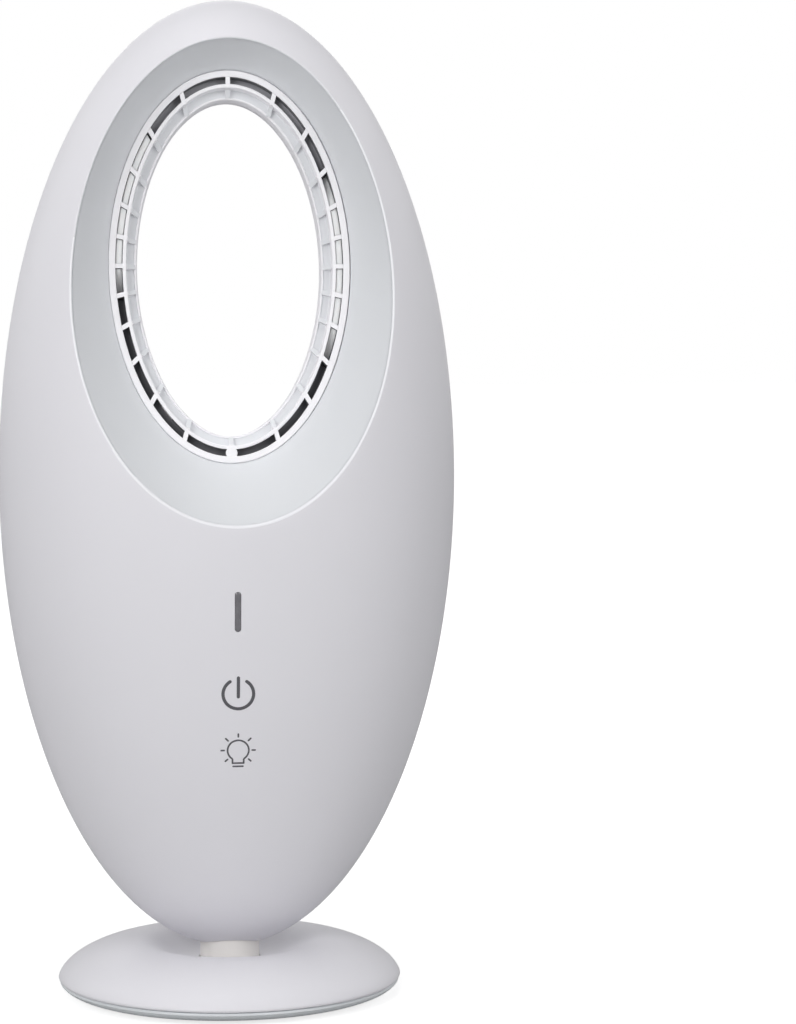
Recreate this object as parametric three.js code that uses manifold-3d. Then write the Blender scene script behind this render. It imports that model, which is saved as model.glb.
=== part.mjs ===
// Bladeless desk fan. An egg-shaped body stands on a short neck and a round weighted base.
// An impeller low in the body lifts air into the room behind a funnelled oval recess, and the
// air leaves through a narrow ring-shaped slot round an open hole in the upper half.
// Millimetres, +Z up, the front faces -Y, and the origin is under the middle of the base.

import * as THREE from 'three';
import { mergeVertices } from 'three/addons/utils/BufferGeometryUtils.js';
import Module from 'manifold-3d';

const wasm = await Module();
wasm.setup();

// ---------------------------------------------------------------- driving dimensions

const GAP = 0.3;                 // between pieces that sit on or in each other
const WALL = 2.2;                // moulded shells

const BODY = { a: 68.8, b: 46, c: 143, z: 157, splitY: 6 };      // ellipsoid half axes and centre
const RECESS = { a: 47.2, c: 71.2, z: 216.1, egg: 0.045, edge: 0.7, back: 0.6, bow: 0.8 };
const RING = { a: 35.9, c: 58.8, y: -11.7, z: 220.4, lean: THREE.MathUtils.degToRad(6.7) };
const MOUTH = { a: 41, c: 64, z: 213, edge: 2, wall: 2.4 };      // where the throat opens at the back

const FLANGE = 2.0;              // outlet grille, widths measured inwards from its outer edge
const SLOT = 2.1;
const LIP = 1.1;
const HOLE = 9.0;
const SKIRT_DEPTH = 7;
const GRILLE_DEPTH = 9.2;
const RIB = { count: 24, width: 1.35 };
const RIB_BOSS = { r: 2.1, inset: 3.05 };
const LEDGE = { reach: 0.7, front: 1.8, back: 3.8, root: 2.6, rootDepth: 3.6 };  // the grille's seat in the shell
const HOOK = { angles: [35, 145, 215, 325], halfAngle: 4, root: -1.4, tip: -0.1, land: 0.5, length: 2 };

const GUIDE = { side: GAP, front: 0.8, back: 8.2, ribDepth: 6.3, sunk: 4.2 };
const LED = { side: 0.6, front: 8.5, back: 9.3 };
const RIGHT_LIGHT = { from: 45, to: 135, rampStart: 15, rampEnd: 15 };
const LEFT_LIGHT = { from: -105, to: -30, rampStart: 15, rampEnd: 0 };

const INTAKE = { a: 30, c: 26, z: 84, lip: 2, thick: 1.4, slotHigh: 3.4, pitch: 7, slots: 6, mullion: 2.4 };

const BASE = { r: 51.5, lipIn: 0.6, lipWide: 2.2, splitZ: 4.5, seam: 0.2, crestR: 30, crestZ: 16.6, shoulderZ: 6, hubZ: 10.2, wall: 2.1 };
const TRAY = { rimR: 50.7, rimWide: 2, flatR: 43, bottomZ: 0.8, floorZ: 2.8 };
const HUB = { r: 10.4, wall: 2.2, bottomZ: 6.3 };
const NECK = { r: 9, stemR: 8, boreR: 5, bottomZ: 3.1, flangeR: 12.5, flangeZ: 24, topZ: 27 };
const CLAMP = { r: 15, topZ: 30, neckGap: 0.6 };  // holds the neck's flange between the two shells
const RETAINER = { r: 11.5, bottomZ: 3.2, topZ: 5.1, lugR: 14.6, lugHalfAngle: 10 };
const STOP = { innerR: 12.1, outerR: 15.2, topZ: 5, halfAngle: 5 };
const SWIVEL_LIMIT = 45;         // degrees each way from straight ahead
const BALLAST = { innerR: 16, outerR: 36.5, bottomZ: 3.1, topZ: 8.4 };
const FOOT = { r: 5, ringR: 36, height: 1.2, count: 4 };
const BASE_SCREW = { ringR: 40.4, r: 1.3, headR: 2.6, headZ: 1.0, topZ: 8.5, count: 3 };

const CELL = { r: 9.1, length: 65, z: 50 };
const CRADLE = { wall: 1.8, length: 56, wingZ: 53 };
const DUCT = { r: 26.7, wall: 2, bottomZ: 69, topZ: 121, bellR: 31, flangeR: 31, flange: 2 };
const BAFFLE = { z: 116.2, thick: 2.5, side: 1.1 };
const SHELF = { reach: 4, thick: 2, fromX: 26, toX: 44 };        // carries the baffle plate
const STATOR = { vanes: 5, cupR: 13.8, cupWall: 1.2, bottomZ: 95, topZ: 115, tailZ: 123 };
const MOTOR = { r: 12, bottomZ: 96, topZ: 112, boreR: 1.6 };
const SHAFT = { r: 1.5, bottomZ: 79, topZ: 110 };
const IMPELLER = { r: 26, noseR: 8, hubR: 13, bottomZ: 76, topZ: 93, blades: 7, boreR: 1.56 };
const CAP = { r: 7.8, bottomZ: 71.5 };

const BOARD = { width: 24, thick: 1.6, frontY: -33.4, bottomZ: 77, topZ: 129 };
const BOARD_POST = { r: 1.8, x: 9.4, lowZ: 81, highZ: 125 };
const LENS = { width: 1.8, height: 11.8, z: 120 };
const KEYS = { r: 3, powerZ: 96, lampZ: 79.5 };
const USB = { z: 45, width: 8.94, height: 3.2, depth: 7.3, frontY: 27.2 };
const CHARGE_BOARD = { width: 15, thick: 1.2, fromY: 12, toY: 23.6 };
const SHELL_SCREW = { r: 1.5, headR: 2.8, recessR: 3.2, headY: 14.3, tipY: -6, bossR: 4.2 };
const SCREW_PLACES = [[-44, 88], [44, 88], [-56, 172], [56, 172]];

const SIDES = { shell: 32, base: 28, intake: 20, round: 16, duct: 20, small: 10, tiny: 6 };
const ROWS = { front: 7, rear: 6, inside: 5 };
const INTO_WALL = 1.1;           // how deep ribs and bosses are rooted in a shell wall
const BEYOND = 3;                // how far a cutting tool reaches past the skin

// ---------------------------------------------------------------- small tools

const rad = THREE.MathUtils.degToRad;
const mix = (p, q, k) => p + (q - p) * k;
const steps = (count) => Array.from({ length: count + 1 }, (_, i) => i / count);

// Volume inside a mesh; negative when its faces point inwards.
function signedVolume(position, index) {
  const [a, b, c] = [new THREE.Vector3(), new THREE.Vector3(), new THREE.Vector3()];
  let volume = 0;
  for (let i = 0; i < index.length; i += 3) {
    a.fromBufferAttribute(position, index[i]);
    b.fromBufferAttribute(position, index[i + 1]);
    c.fromBufferAttribute(position, index[i + 2]);
    volume += a.dot(b.cross(c)) / 6;
  }
  return volume;
}

// The same mesh with positions only, shared corners merged and every face pointing out.
function tidy(geometry) {
  const bare = new THREE.BufferGeometry();
  bare.setAttribute('position', geometry.getAttribute('position'));
  if (geometry.index) bare.setIndex(geometry.index);
  const merged = mergeVertices(bare, 1e-4);
  const index = [];
  const all = merged.index.array;
  for (let i = 0; i < all.length; i += 3) {
    const [p, q, r] = [all[i], all[i + 1], all[i + 2]];
    if (p !== q && q !== r && r !== p) index.push(p, q, r);
  }
  if (signedVolume(merged.getAttribute('position'), index) < 0) index.reverse();
  merged.setIndex(index);
  return merged;
}

function solid(geometry) {
  const bare = tidy(geometry);
  return new wasm.Manifold(new wasm.Mesh({
    numProp: 3,
    vertProperties: new Float32Array(bare.getAttribute('position').array),
    triVerts: new Uint32Array(bare.index.array),
  }));
}

function geometryOf(manifold) {
  const mesh = manifold.getMesh();
  const geometry = new THREE.BufferGeometry();
  geometry.setAttribute('position', new THREE.BufferAttribute(mesh.vertProperties, 3));
  geometry.setIndex(new THREE.BufferAttribute(mesh.triVerts, 1));
  return geometry;
}

const cut = (body, ...tools) => tools.reduce((left, tool) => left.subtract(solid(tool)), body);
const join = (...geometries) => geometries.map(solid).reduce((left, right) => left.add(right));

// A skin through loops of points. The last loop joins the first, or flat caps close both ends.
function skin(loops, capped = false) {
  const rows = loops.length;
  const count = loops[0].length;
  const position = loops.flat().flatMap((p) => [p.x, p.y, p.z]);
  const index = [];
  for (let i = 0; i < (capped ? rows - 1 : rows); i++) {
    for (let j = 0; j < count; j++) {
      const [p, q] = [i * count + j, i * count + (j + 1) % count];
      const [r, s] = [((i + 1) % rows) * count + j, ((i + 1) % rows) * count + (j + 1) % count];
      index.push(p, q, s, p, s, r);
    }
  }
  if (capped) {
    const last = (rows - 1) * count;
    for (let j = 1; j < count - 1; j++) index.push(0, j + 1, j, last, last + j, last + j + 1);
  }
  const geometry = new THREE.BufferGeometry();
  geometry.setAttribute('position', new THREE.Float32BufferAttribute(position, 3));
  geometry.setIndex(index);
  return tidy(geometry);
}

// A turned piece about the Z axis from [radius, height] points.
function turned(points, sides = SIDES.round) {
  const profile = points.map(([r, z]) => new THREE.Vector2(r, z));
  return tidy(new THREE.LatheGeometry(profile, sides).rotateX(Math.PI / 2));
}

const tube = (innerR, outerR, bottomZ, topZ, sides) => turned(
  [[innerR, bottomZ], [outerR, bottomZ], [outerR, topZ], [innerR, topZ], [innerR, bottomZ]], sides);
const disc = (r, bottomZ, topZ, sides) => turned([[0, bottomZ], [r, bottomZ], [r, topZ], [0, topZ]], sides);
const bar = (x, y, z) => new THREE.BoxGeometry(x[1] - x[0], y[1] - y[0], z[1] - z[0])
  .translate((x[0] + x[1]) / 2, (y[0] + y[1]) / 2, (z[0] + z[1]) / 2);

// A pin along Y, from one depth to another.
const pinY = (r, fromY, toY, x, z, sides = SIDES.tiny) => disc(r, 0, toY - fromY, sides)
  .rotateX(-Math.PI / 2).translate(x, fromY, z);

// A flat shape drawn in X and Z, pushed along Y.
const plateY = (shape, fromY, toY, curveSegments = 8) => new THREE.ExtrudeGeometry(
  shape, { depth: toY - fromY, bevelEnabled: false, curveSegments }).rotateX(Math.PI / 2).translate(0, toY, 0);

// A slot with round ends, drawn about its middle.
function slotShape(width, height) {
  const r = Math.min(width, height) / 2;
  const [dx, dy] = [width / 2 - r, height / 2 - r];
  const shape = new THREE.Shape();
  if (width > height) {
    shape.absarc(dx, 0, r, -Math.PI / 2, Math.PI / 2).absarc(-dx, 0, r, Math.PI / 2, Math.PI * 1.5);
  } else {
    shape.absarc(0, dy, r, 0, Math.PI).absarc(0, -dy, r, Math.PI, Math.PI * 2);
  }
  return shape;
}

const shifted = (shape, dx, dy, arcSteps = 3) => new THREE.Shape(
  shape.getPoints(arcSteps).map((p) => p.clone().add({ x: dx, y: dy })));

// ---------------------------------------------------------------- ovals and the body's surface

// A point of an oval drawn in X and Z, angle t from its top, moved outwards by `out`.
function oval(a, c, z, t, out = 0, egg = 0) {
  const [nx, nz] = [Math.sin(t) / a, Math.cos(t) / c];
  const length = Math.hypot(nx, nz);
  const x = a * Math.sin(t) * (1 - egg * Math.cos(t)) + out * nx / length;
  return { x, z: z + c * Math.cos(t) + out * nz / length };
}

const recessEdge = (t, out = 0) => oval(RECESS.a, RECESS.c, RECESS.z, t, out, RECESS.egg);
const mouthEdge = (t, out = 0) => oval(MOUTH.a, MOUTH.c, MOUTH.z, t, out);

// Depth of the body's surface behind or before its middle plane, for a skin `inset` inside it.
function surfaceY(x, z, inset) {
  const u = x / (BODY.a - inset);
  const w = (z - BODY.z) / (BODY.c - inset);
  return (BODY.b - inset) * Math.sqrt(Math.max(0, 1 - u * u - w * w));
}

const onBody = (p, side, inset) => new THREE.Vector3(p.x, side * surfaceY(p.x, p.z, inset), p.z);
const between = (p, q, k) => ({ x: mix(p.x, q.x, k), z: mix(p.z, q.z, k) });

// The body's outline where a plane at depth y cuts a skin `inset` inside the surface.
function outline(t, y, inset) {
  const k = Math.sqrt(1 - (y / (BODY.b - inset)) ** 2);
  return oval((BODY.a - inset) * k, (BODY.c - inset) * k, BODY.z, t);
}

// Rows of one column of the body's surface, from the split plane over to the point `end`.
function bodyRows(t, side, inset, end, splitY, count) {
  const rows = [];
  const rim = outline(t, 0, inset);
  if (Math.sign(splitY) !== side) {
    const start = outline(t, splitY, inset);
    rows.push(new THREE.Vector3(start.x, splitY, start.z));
    rows.push(new THREE.Vector3(rim.x, 0, rim.z));
  }
  const start = Math.sign(splitY) === side ? outline(t, splitY, inset) : rim;
  const widest = rad(70);
  for (const k of steps(count).slice(rows.length ? 1 : 0)) {
    const share = (1 - Math.cos(k * widest)) / (1 - Math.cos(widest));
    const p = between(start, end, share);
    rows.push(k === 0 ? new THREE.Vector3(p.x, splitY, p.z) : onBody(p, side, inset));
  }
  return rows;
}

// A point of the leaning ring frame: `out` from the grille's outer edge, `depth` into the body.
const ringMatrix = new THREE.Matrix4().makeRotationX(-RING.lean).setPosition(0, RING.y, RING.z);
function ringPoint(t, out, depth) {
  const p = oval(RING.a, RING.c, 0, t, out);
  return new THREE.Vector3(p.x, depth, p.z).applyMatrix4(ringMatrix);
}

const columnAngles = (count) => steps(count).slice(0, -1).map((k) => k * Math.PI * 2);
const softCorner = (p, corner, q) => new THREE.QuadraticBezierCurve3(p, corner, q).getPoint(0.5);

// ---------------------------------------------------------------- body shells

// The body drawn in by `inset`, as a tool.
const bodyTool = (inset, sides) => new THREE.SphereGeometry(1, sides, Math.round(sides * 0.75)).rotateX(Math.PI / 2)
  .scale(BODY.a - inset, BODY.b - inset, BODY.c - inset).translate(0, 0, BODY.z);

// Ribs on both sides of a shell that the baffle plate lies on, from one depth to another.
function shelves(fromY, toY) {
  const z = [BAFFLE.z - GAP - SHELF.thick, BAFFLE.z - GAP];
  const blocks = join(bar([-SHELF.toX, -SHELF.fromX], [fromY, toY], z), bar([SHELF.fromX, SHELF.toX], [fromY, toY], z));
  return blocks.subtract(solid(bodyTool(WALL + SHELF.reach, 24)));
}

// Half of the collar that grips the neck's flange.
function neckClamp(fromY, toY) {
  const low = NECK.flangeZ - GAP;
  const high = NECK.topZ + GAP;
  const collar = turned([[NECK.r + GAP, 12], [CLAMP.r, 12], [CLAMP.r, CLAMP.topZ], [NECK.r + CLAMP.neckGap, CLAMP.topZ],
    [NECK.r + CLAMP.neckGap, high], [NECK.flangeR + GAP, high], [NECK.flangeR + GAP, low], [NECK.r + GAP, low],
    [NECK.r + GAP, 12]]);
  return solid(collar).intersect(solid(bar([-CLAMP.r, CLAMP.r], [fromY, toY], [0, CLAMP.topZ])));
}

// Front half: outer surface, soft recess edge, funnel, ledge for the grille, and the inside skin.
function frontColumn(t) {
  const splitY = BODY.splitY - GAP / 2;
  const outer = bodyRows(t, -1, 0, recessEdge(t, RECESS.edge), splitY, ROWS.front);
  const corner = onBody(recessEdge(t), -1, 0);
  const seat = ringPoint(t, GAP, 0.1);
  const funnel = (k) => corner.clone().lerp(seat, k)
    .add(new THREE.Vector3(0, RECESS.bow * Math.sin(Math.PI * k), 0));
  const edgeShare = RECESS.edge / corner.distanceTo(seat);
  const outerEdge = outer.at(-1);
  const ledge = [[GAP, LEDGE.front], [-LEDGE.reach, LEDGE.front], [-LEDGE.reach, LEDGE.back],
    [LEDGE.root, LEDGE.rootDepth]].map(([out, depth]) => ringPoint(t, out, depth));
  const insideEnd = onBody(recessEdge(t, RECESS.back), -1, WALL);
  const inside = bodyRows(t, -1, WALL, recessEdge(t, RECESS.back), splitY, ROWS.inside);
  const backOfFunnel = ledge.at(-1).clone().lerp(insideEnd, 0.5)
    .add(new THREE.Vector3(0, RECESS.bow, 0));
  return [...outer, softCorner(outerEdge, corner, funnel(edgeShare)), funnel(edgeShare),
    funnel(0.35), funnel(0.68), seat, ...ledge, backOfFunnel, ...inside.reverse()];
}

function frontShell() {
  const splitY = BODY.splitY - GAP / 2;
  const blank = solid(skin(columnAngles(SIDES.shell).map(frontColumn)));
  const boss = ([x, z]) => pinY(SHELL_SCREW.bossR - 0.4, -BODY.b, splitY, x, z);
  const pilot = ([x, z]) => pinY(SHELL_SCREW.r + GAP, SHELL_SCREW.tipY - 1, BODY.splitY + 1, x, z);
  const post = (z) => [-1, 1].map((side) => pinY(BOARD_POST.r, -BODY.b, BOARD.frontY - GAP, side * BOARD_POST.x, z));
  const bosses = join(...SCREW_PLACES.map(boss), ...post(BOARD_POST.lowZ), ...post(BOARD_POST.highZ))
    .add(shelves(-BODY.b, 0)).add(neckClamp(-CLAMP.r - 5, splitY)).intersect(solid(bodyTool(INTO_WALL, 40)));
  const lensHole = plateY(shifted(slotShape(LENS.width + 2 * GAP, LENS.height + 2 * GAP), 0, LENS.z), -50, -38);
  return cut(blank.add(bosses), disc(NECK.r + GAP, 8, 30), lensHole, ...SCREW_PLACES.map(pilot));
}

// Back half: outer surface, rounded mouth, throat forward to the grille, and the inside skin.
function rearColumn(t) {
  const splitY = BODY.splitY + GAP / 2;
  const outer = bodyRows(t, 1, 0, mouthEdge(t, MOUTH.edge), splitY, ROWS.rear);
  const flare = (front, back, k) => front.clone().lerp(back, 0.35 * k + 0.65 * k * k).setY(mix(front.y, back.y, k));
  const corner = onBody(mouthEdge(t), 1, 0);
  const front = ringPoint(t, -HOLE, GRILLE_DEPTH + GAP);
  const frontOutside = ringPoint(t, MOUTH.wall - HOLE, GRILLE_DEPTH + GAP);
  const backOutside = onBody(mouthEdge(t, MOUTH.wall), 1, WALL);
  const throat = [0.94, 0.75, 0.5, 0.25, 0].map((k) => flare(front, corner, k));
  const outside = [0, 0.35, 0.7].map((k) => flare(frontOutside, backOutside, k));
  const inside = bodyRows(t, 1, WALL, mouthEdge(t, MOUTH.wall), splitY, ROWS.inside);
  return [...outer, softCorner(outer.at(-1), corner, throat[0]), ...throat, ...outside, ...inside.reverse()];
}

// A curved oval plate that follows the back of the body between two insets.
function backPlate(a, c, outInset, inInset, rings) {
  const loop = (inset, k) => columnAngles(SIDES.intake).map((t) => onBody(oval(a * k, c * k, INTAKE.z, t), 1, inset));
  const shares = steps(rings).slice(1);
  return skin([...shares.map((k) => loop(outInset, k)), ...shares.reverse().map((k) => loop(inInset, k))], true);
}

function rearShell() {
  const blank = solid(skin(columnAngles(SIDES.shell).map(rearColumn)));
  const splitY = BODY.splitY + GAP / 2;
  const boss = ([x, z]) => pinY(SHELL_SCREW.bossR, splitY, BODY.b, x, z);
  const recess = ([x, z]) => pinY(SHELL_SCREW.recessR, SHELL_SCREW.headY - GAP, BODY.b, x, z);
  const hole = ([x, z]) => pinY(SHELL_SCREW.r + GAP, 0, BODY.b, x, z);
  const bosses = join(...SCREW_PLACES.map(boss)).add(shelves(splitY + 2, BODY.b)).add(neckClamp(splitY, CLAMP.r + 5))
    .intersect(solid(bodyTool(INTO_WALL, 40)));
  const seat = backPlate(INTAKE.a + GAP, INTAKE.c + GAP, -BEYOND, INTAKE.thick + GAP, 2);
  const opening = backPlate(INTAKE.a - INTAKE.lip, INTAKE.c - INTAKE.lip, -BEYOND, 2 * BEYOND, 1);
  const port = plateY(shifted(slotShape(USB.width + 2 * GAP, USB.height + 2 * GAP), 0, USB.z), 20, 36);
  return cut(blank.add(bosses), seat, opening, port, disc(NECK.r + GAP, 8, 30),
    ...SCREW_PLACES.map(recess), ...SCREW_PLACES.map(hole));
}

// Air intake at the back: a curved plate with rows of slots either side of a middle bar.
function intakeGrille() {
  const plate = solid(backPlate(INTAKE.a, INTAKE.c, 0, INTAKE.thick, 2));
  const slots = [];
  for (let i = 0; i < INTAKE.slots; i++) {
    const z = (i - (INTAKE.slots - 1) / 2) * INTAKE.pitch;
    const edge = 1 - ((Math.abs(z) + INTAKE.slotHigh / 2) / (INTAKE.c - INTAKE.lip)) ** 2;
    const reach = (INTAKE.a - INTAKE.lip) * Math.sqrt(Math.max(0, edge)) - 1;
    const length = reach - INTAKE.mullion / 2;
    const middle = (reach + INTAKE.mullion / 2) / 2;
    for (const side of [-1, 1]) {
      slots.push(new THREE.BoxGeometry(length, 20, INTAKE.slotHigh).translate(side * middle, 36, INTAKE.z + z));
    }
  }
  return cut(plate, ...slots);
}

// ---------------------------------------------------------------- outlet grille and its lights

// The angle on the ring's outline, moved outwards by `out`, whose direction from the middle is theta.
function angleToward(theta, out) {
  let [low, high] = [theta - 0.7, theta + 0.7];
  for (let i = 0; i < 40; i++) {
    const middle = (low + high) / 2;
    const p = oval(RING.a, RING.c, 0, middle, out);
    const error = Math.atan2(p.x, p.z) - theta;
    if (Math.atan2(Math.sin(error), Math.cos(error)) < 0) low = middle;
    else high = middle;
  }
  return (low + high) / 2;
}

function ringSpot(theta, out, depth) {
  const p = oval(RING.a, RING.c, 0, angleToward(theta, out), out);
  return new THREE.Vector3(p.x, depth, p.z);
}

// A closed section swept once round the oval.
function ovalRing(section) {
  const column = (t) => section.map(([out, depth]) => {
    const p = oval(RING.a, RING.c, 0, t, out);
    return new THREE.Vector3(p.x, depth, p.z);
  });
  return skin(columnAngles(SIDES.shell).map(column));
}

// An upright plate that points from the ring's middle, with its outline in [out, depth].
function radialPlate(theta, outlineOf, width) {
  const across = new THREE.Vector3(Math.cos(theta), 0, -Math.sin(theta));
  const face = (side) => outlineOf.map(([out, depth]) => ringSpot(theta, out, depth)
    .addScaledVector(across, side * width / 2));
  return skin([face(-1), face(1)], true);
}

const slotOut = -FLANGE;
const slotIn = -FLANGE - SLOT;
const lipIn = slotIn - LIP;
const ribAngle = (k) => (k / RIB.count) * Math.PI * 2;

// A wedge on the skirt that snaps behind the shell's ledge.
function snapHook(angle) {
  const depth = LEDGE.back + GAP;
  const loops = [-1, 1].map((side) => [
    [HOOK.root, depth], [HOOK.tip, depth], [HOOK.tip, depth + HOOK.land], [HOOK.root, depth + HOOK.length],
  ].map(([out, y]) => ringSpot(rad(angle + side * HOOK.halfAngle), out, y)));
  return skin(loops, true);
}

function outletGrille() {
  const flange = ovalRing([[0, -0.6], [slotOut, -0.6], [slotOut, SKIRT_DEPTH],
    [-1, SKIRT_DEPTH], [-1, 1.5], [0, 1.5]]);
  const band = ovalRing([[slotIn, -0.3], [lipIn, -0.3], [lipIn, 1.4], [-6.1, 6.4], [-6.7, 5.6],
    [-8.8, 7], [-HOLE, GRILLE_DEPTH], [slotIn, GRILLE_DEPTH]]);
  const ribOutline = [[-1.5, -0.3], [lipIn, -0.2], [-7, 5.7], [-1.5, 6]];
  const ribs = [];
  for (let k = 0; k < RIB.count; k++) ribs.push(radialPlate(ribAngle(k), ribOutline, RIB.width));
  const foot = ringSpot(Math.PI, -RIB_BOSS.inset, 0);
  const boss = pinY(RIB_BOSS.r, -0.35, SKIRT_DEPTH, foot.x, foot.z, 16);
  return join(flange, band, ...ribs, boss, ...HOOK.angles.map(snapHook));
}

// A strip in the slot between two angles; frontAt gives its front depth along the way.
function slotStrip(range, side, frontAt, back) {
  const loops = steps(Math.round((range.to - range.from) / 7.5)).map((k) => {
    const angle = mix(range.from, range.to, k);
    const corners = [[slotOut - side, frontAt(angle)], [slotIn + side, frontAt(angle)],
      [slotIn + side, back], [slotOut - side, back]];
    return corners.map(([out, depth]) => ringSpot(rad(angle), out, depth));
  });
  return skin(loops, true);
}

// Light guide: a strip behind the ribs with one block standing forward in each cell.
function lightGuide(range) {
  const frontAt = (angle) => {
    const fromStart = range.rampStart ? Math.max(0, 1 - (angle - range.from) / range.rampStart) : 0;
    const fromEnd = range.rampEnd ? Math.max(0, 1 - (range.to - angle) / range.rampEnd) : 0;
    return GUIDE.front + GUIDE.sunk * Math.max(fromStart, fromEnd);
  };
  const trimmed = { from: range.from + 1.6, to: range.to - 1.6 };
  const strip = solid(slotStrip(trimmed, GUIDE.side, frontAt, GUIDE.back));
  const notch = [[0, -1], [slotIn - 1, -1], [slotIn - 1, GUIDE.ribDepth], [0, GUIDE.ribDepth]];
  const notches = [];
  for (let k = -RIB.count; k < RIB.count; k++) {
    const angle = (k / RIB.count) * 360;
    if (angle > range.from && angle < range.to) notches.push(radialPlate(rad(angle), notch, RIB.width + 2 * GAP));
  }
  return cut(strip, ...notches);
}

function ledStrip(range) {
  const inner = { from: range.from + 5, to: range.to - 5 };
  return slotStrip(inner, LED.side, () => LED.front, LED.back);
}

// ---------------------------------------------------------------- base

const shoulder = (share, inset) => {
  const angle = share * Math.PI / 2;
  const reach = BASE.r - BASE.crestR - inset;
  const rise = BASE.crestZ - BASE.shoulderZ;
  return [BASE.crestR + reach * Math.cos(angle), BASE.shoulderZ - inset + rise * Math.sin(angle) ** 1.3];
};

const dish = (share, inset) => {
  const r = mix(BASE.crestR, HUB.r, share);
  return [r, BASE.crestZ - inset - (BASE.crestZ - BASE.hubZ) * (1 - Math.cos(Math.PI * share)) / 2];
};

function baseTopShell() {
  const outside = [[BASE.r - BASE.lipIn, BASE.splitZ + BASE.seam], ...steps(5).map((k) => shoulder(k, 0)),
    ...steps(4).slice(1).map((k) => dish(k, 0))];
  const inside = [[HUB.r, HUB.bottomZ], [HUB.r + HUB.wall, HUB.bottomZ],
    ...[0.8, 0.35].map((k) => dish(k, BASE.wall)),
    ...[0.9, 0.5, 0.2].map((k) => shoulder(k, BASE.wall)), [BASE.r - BASE.lipIn - BASE.lipWide, BASE.splitZ + BASE.seam]];
  const shell = solid(turned([...outside, ...inside, outside[0]], SIDES.base));
  const cavity = turned([[0, 0], [BASE.r, 0], shoulder(0, BASE.wall / 2), shoulder(0.5, BASE.wall / 2),
    shoulder(1, BASE.wall / 2), [0, BASE.crestZ - BASE.wall / 2]]);
  const places = screwPlaces();
  const boss = join(...places.map(([x, y]) => disc(3.2, TRAY.floorZ + GAP, 20, SIDES.tiny).translate(x, y, 0)));
  return cut(shell.add(boss.intersect(solid(cavity))),
    ...places.map(([x, y]) => disc(BASE_SCREW.r + GAP, 0, BASE_SCREW.topZ + 1, SIDES.tiny).translate(x, y, 0)));
}

const around = (count, r, startAngle) => Array.from({ length: count }, (_, i) => {
  const angle = startAngle + (i / count) * Math.PI * 2;
  return [r * Math.cos(angle), r * Math.sin(angle)];
});

const screwPlaces = () => around(BASE_SCREW.count, BASE_SCREW.ringR, Math.PI / 2);
const footPlaces = () => around(FOOT.count, FOOT.ringR, Math.PI / 4);

// A block between two radii and two angles, used for the swivel's stops and its lug.
function arcBlock(innerR, outerR, bottomZ, topZ, middle, halfAngle) {
  const loops = [-1, 0, 1].map((k) => {
    const angle = rad(middle + k * halfAngle);
    const at = (r, z) => new THREE.Vector3(r * Math.cos(angle), r * Math.sin(angle), z);
    return [at(innerR, bottomZ), at(outerR, bottomZ), at(outerR, topZ), at(innerR, topZ)];
  });
  return skin(loops, true);
}

// The lug points straight back; each stop stands where the lug's side arrives at the limit.
const LUG_ANGLE = 90;
const stopAngle = SWIVEL_LIMIT + RETAINER.lugHalfAngle + STOP.halfAngle + 1.5;

function baseTray() {
  const topZ = BASE.splitZ - BASE.seam;
  const rise = topZ - TRAY.bottomZ;
  const flank = steps(3).map((k) => [mix(TRAY.flatR, TRAY.rimR, Math.sin(k * Math.PI / 2)),
    TRAY.bottomZ + rise * (1 - Math.cos(k * Math.PI / 2))]);
  const floor = turned([[0, TRAY.bottomZ], ...flank, [TRAY.rimR - TRAY.rimWide, topZ],
    [TRAY.flatR + 2.5, TRAY.floorZ], [0, TRAY.floorZ]], SIDES.base);
  const stop = (side) => arcBlock(STOP.innerR, STOP.outerR, TRAY.floorZ - 1, STOP.topZ,
    LUG_ANGLE + side * stopAngle, STOP.halfAngle);
  const feet = footPlaces().map(([x, y]) => disc(FOOT.r + GAP, 0, FOOT.height + GAP, SIDES.small).translate(x, y, 0));
  const heads = screwPlaces().map(([x, y]) => disc(BASE_SCREW.headR + GAP, 0, 1.9, SIDES.tiny).translate(x, y, 0));
  const holes = screwPlaces().map(([x, y]) => disc(BASE_SCREW.r + GAP, 0, 8, SIDES.tiny).translate(x, y, 0));
  return cut(join(floor, stop(-1), stop(1)), ...feet, ...heads, ...holes);
}

const screw = (r, headR, headHigh, length) => turned(
  [[0, 0], [headR, 0], [headR, headHigh], [r, headHigh], [r, length], [0, length]], SIDES.tiny);

const foot = () => turned([[0, 0], [FOOT.r - 0.5, 0], [FOOT.r, 0.4], [FOOT.r, FOOT.height], [0, FOOT.height]], SIDES.small);

// ---------------------------------------------------------------- neck and swivel

const neckPost = () => turned([
  [NECK.boreR, NECK.bottomZ + 2.3], [NECK.stemR, NECK.bottomZ + 2.3], [NECK.stemR, BASE.hubZ - 0.2],
  [NECK.r, BASE.hubZ - 0.2], [NECK.r, NECK.flangeZ], [NECK.flangeR, NECK.flangeZ],
  [NECK.flangeR, NECK.topZ], [NECK.boreR, NECK.topZ], [NECK.boreR, NECK.bottomZ + 2.3]]);

const swivelBush = () => tube(NECK.stemR + GAP, HUB.r - GAP, HUB.bottomZ, BASE.hubZ - 0.5);
const frictionWasher = () => tube(NECK.stemR + GAP, RETAINER.r - 0.2, RETAINER.topZ + GAP, HUB.bottomZ - GAP);

// The retainer is pushed into the stem's bore from below and carries the stop lug.
const postRetainer = () => join(
  turned([[0, RETAINER.bottomZ], [RETAINER.r, RETAINER.bottomZ], [RETAINER.r, RETAINER.topZ],
    [NECK.boreR - GAP, RETAINER.topZ], [NECK.boreR - GAP, 14], [0, 14]]),
  arcBlock(RETAINER.r - 1, RETAINER.lugR, RETAINER.bottomZ, RETAINER.topZ, LUG_ANGLE, RETAINER.lugHalfAngle));

// ---------------------------------------------------------------- battery, boards and keys

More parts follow.
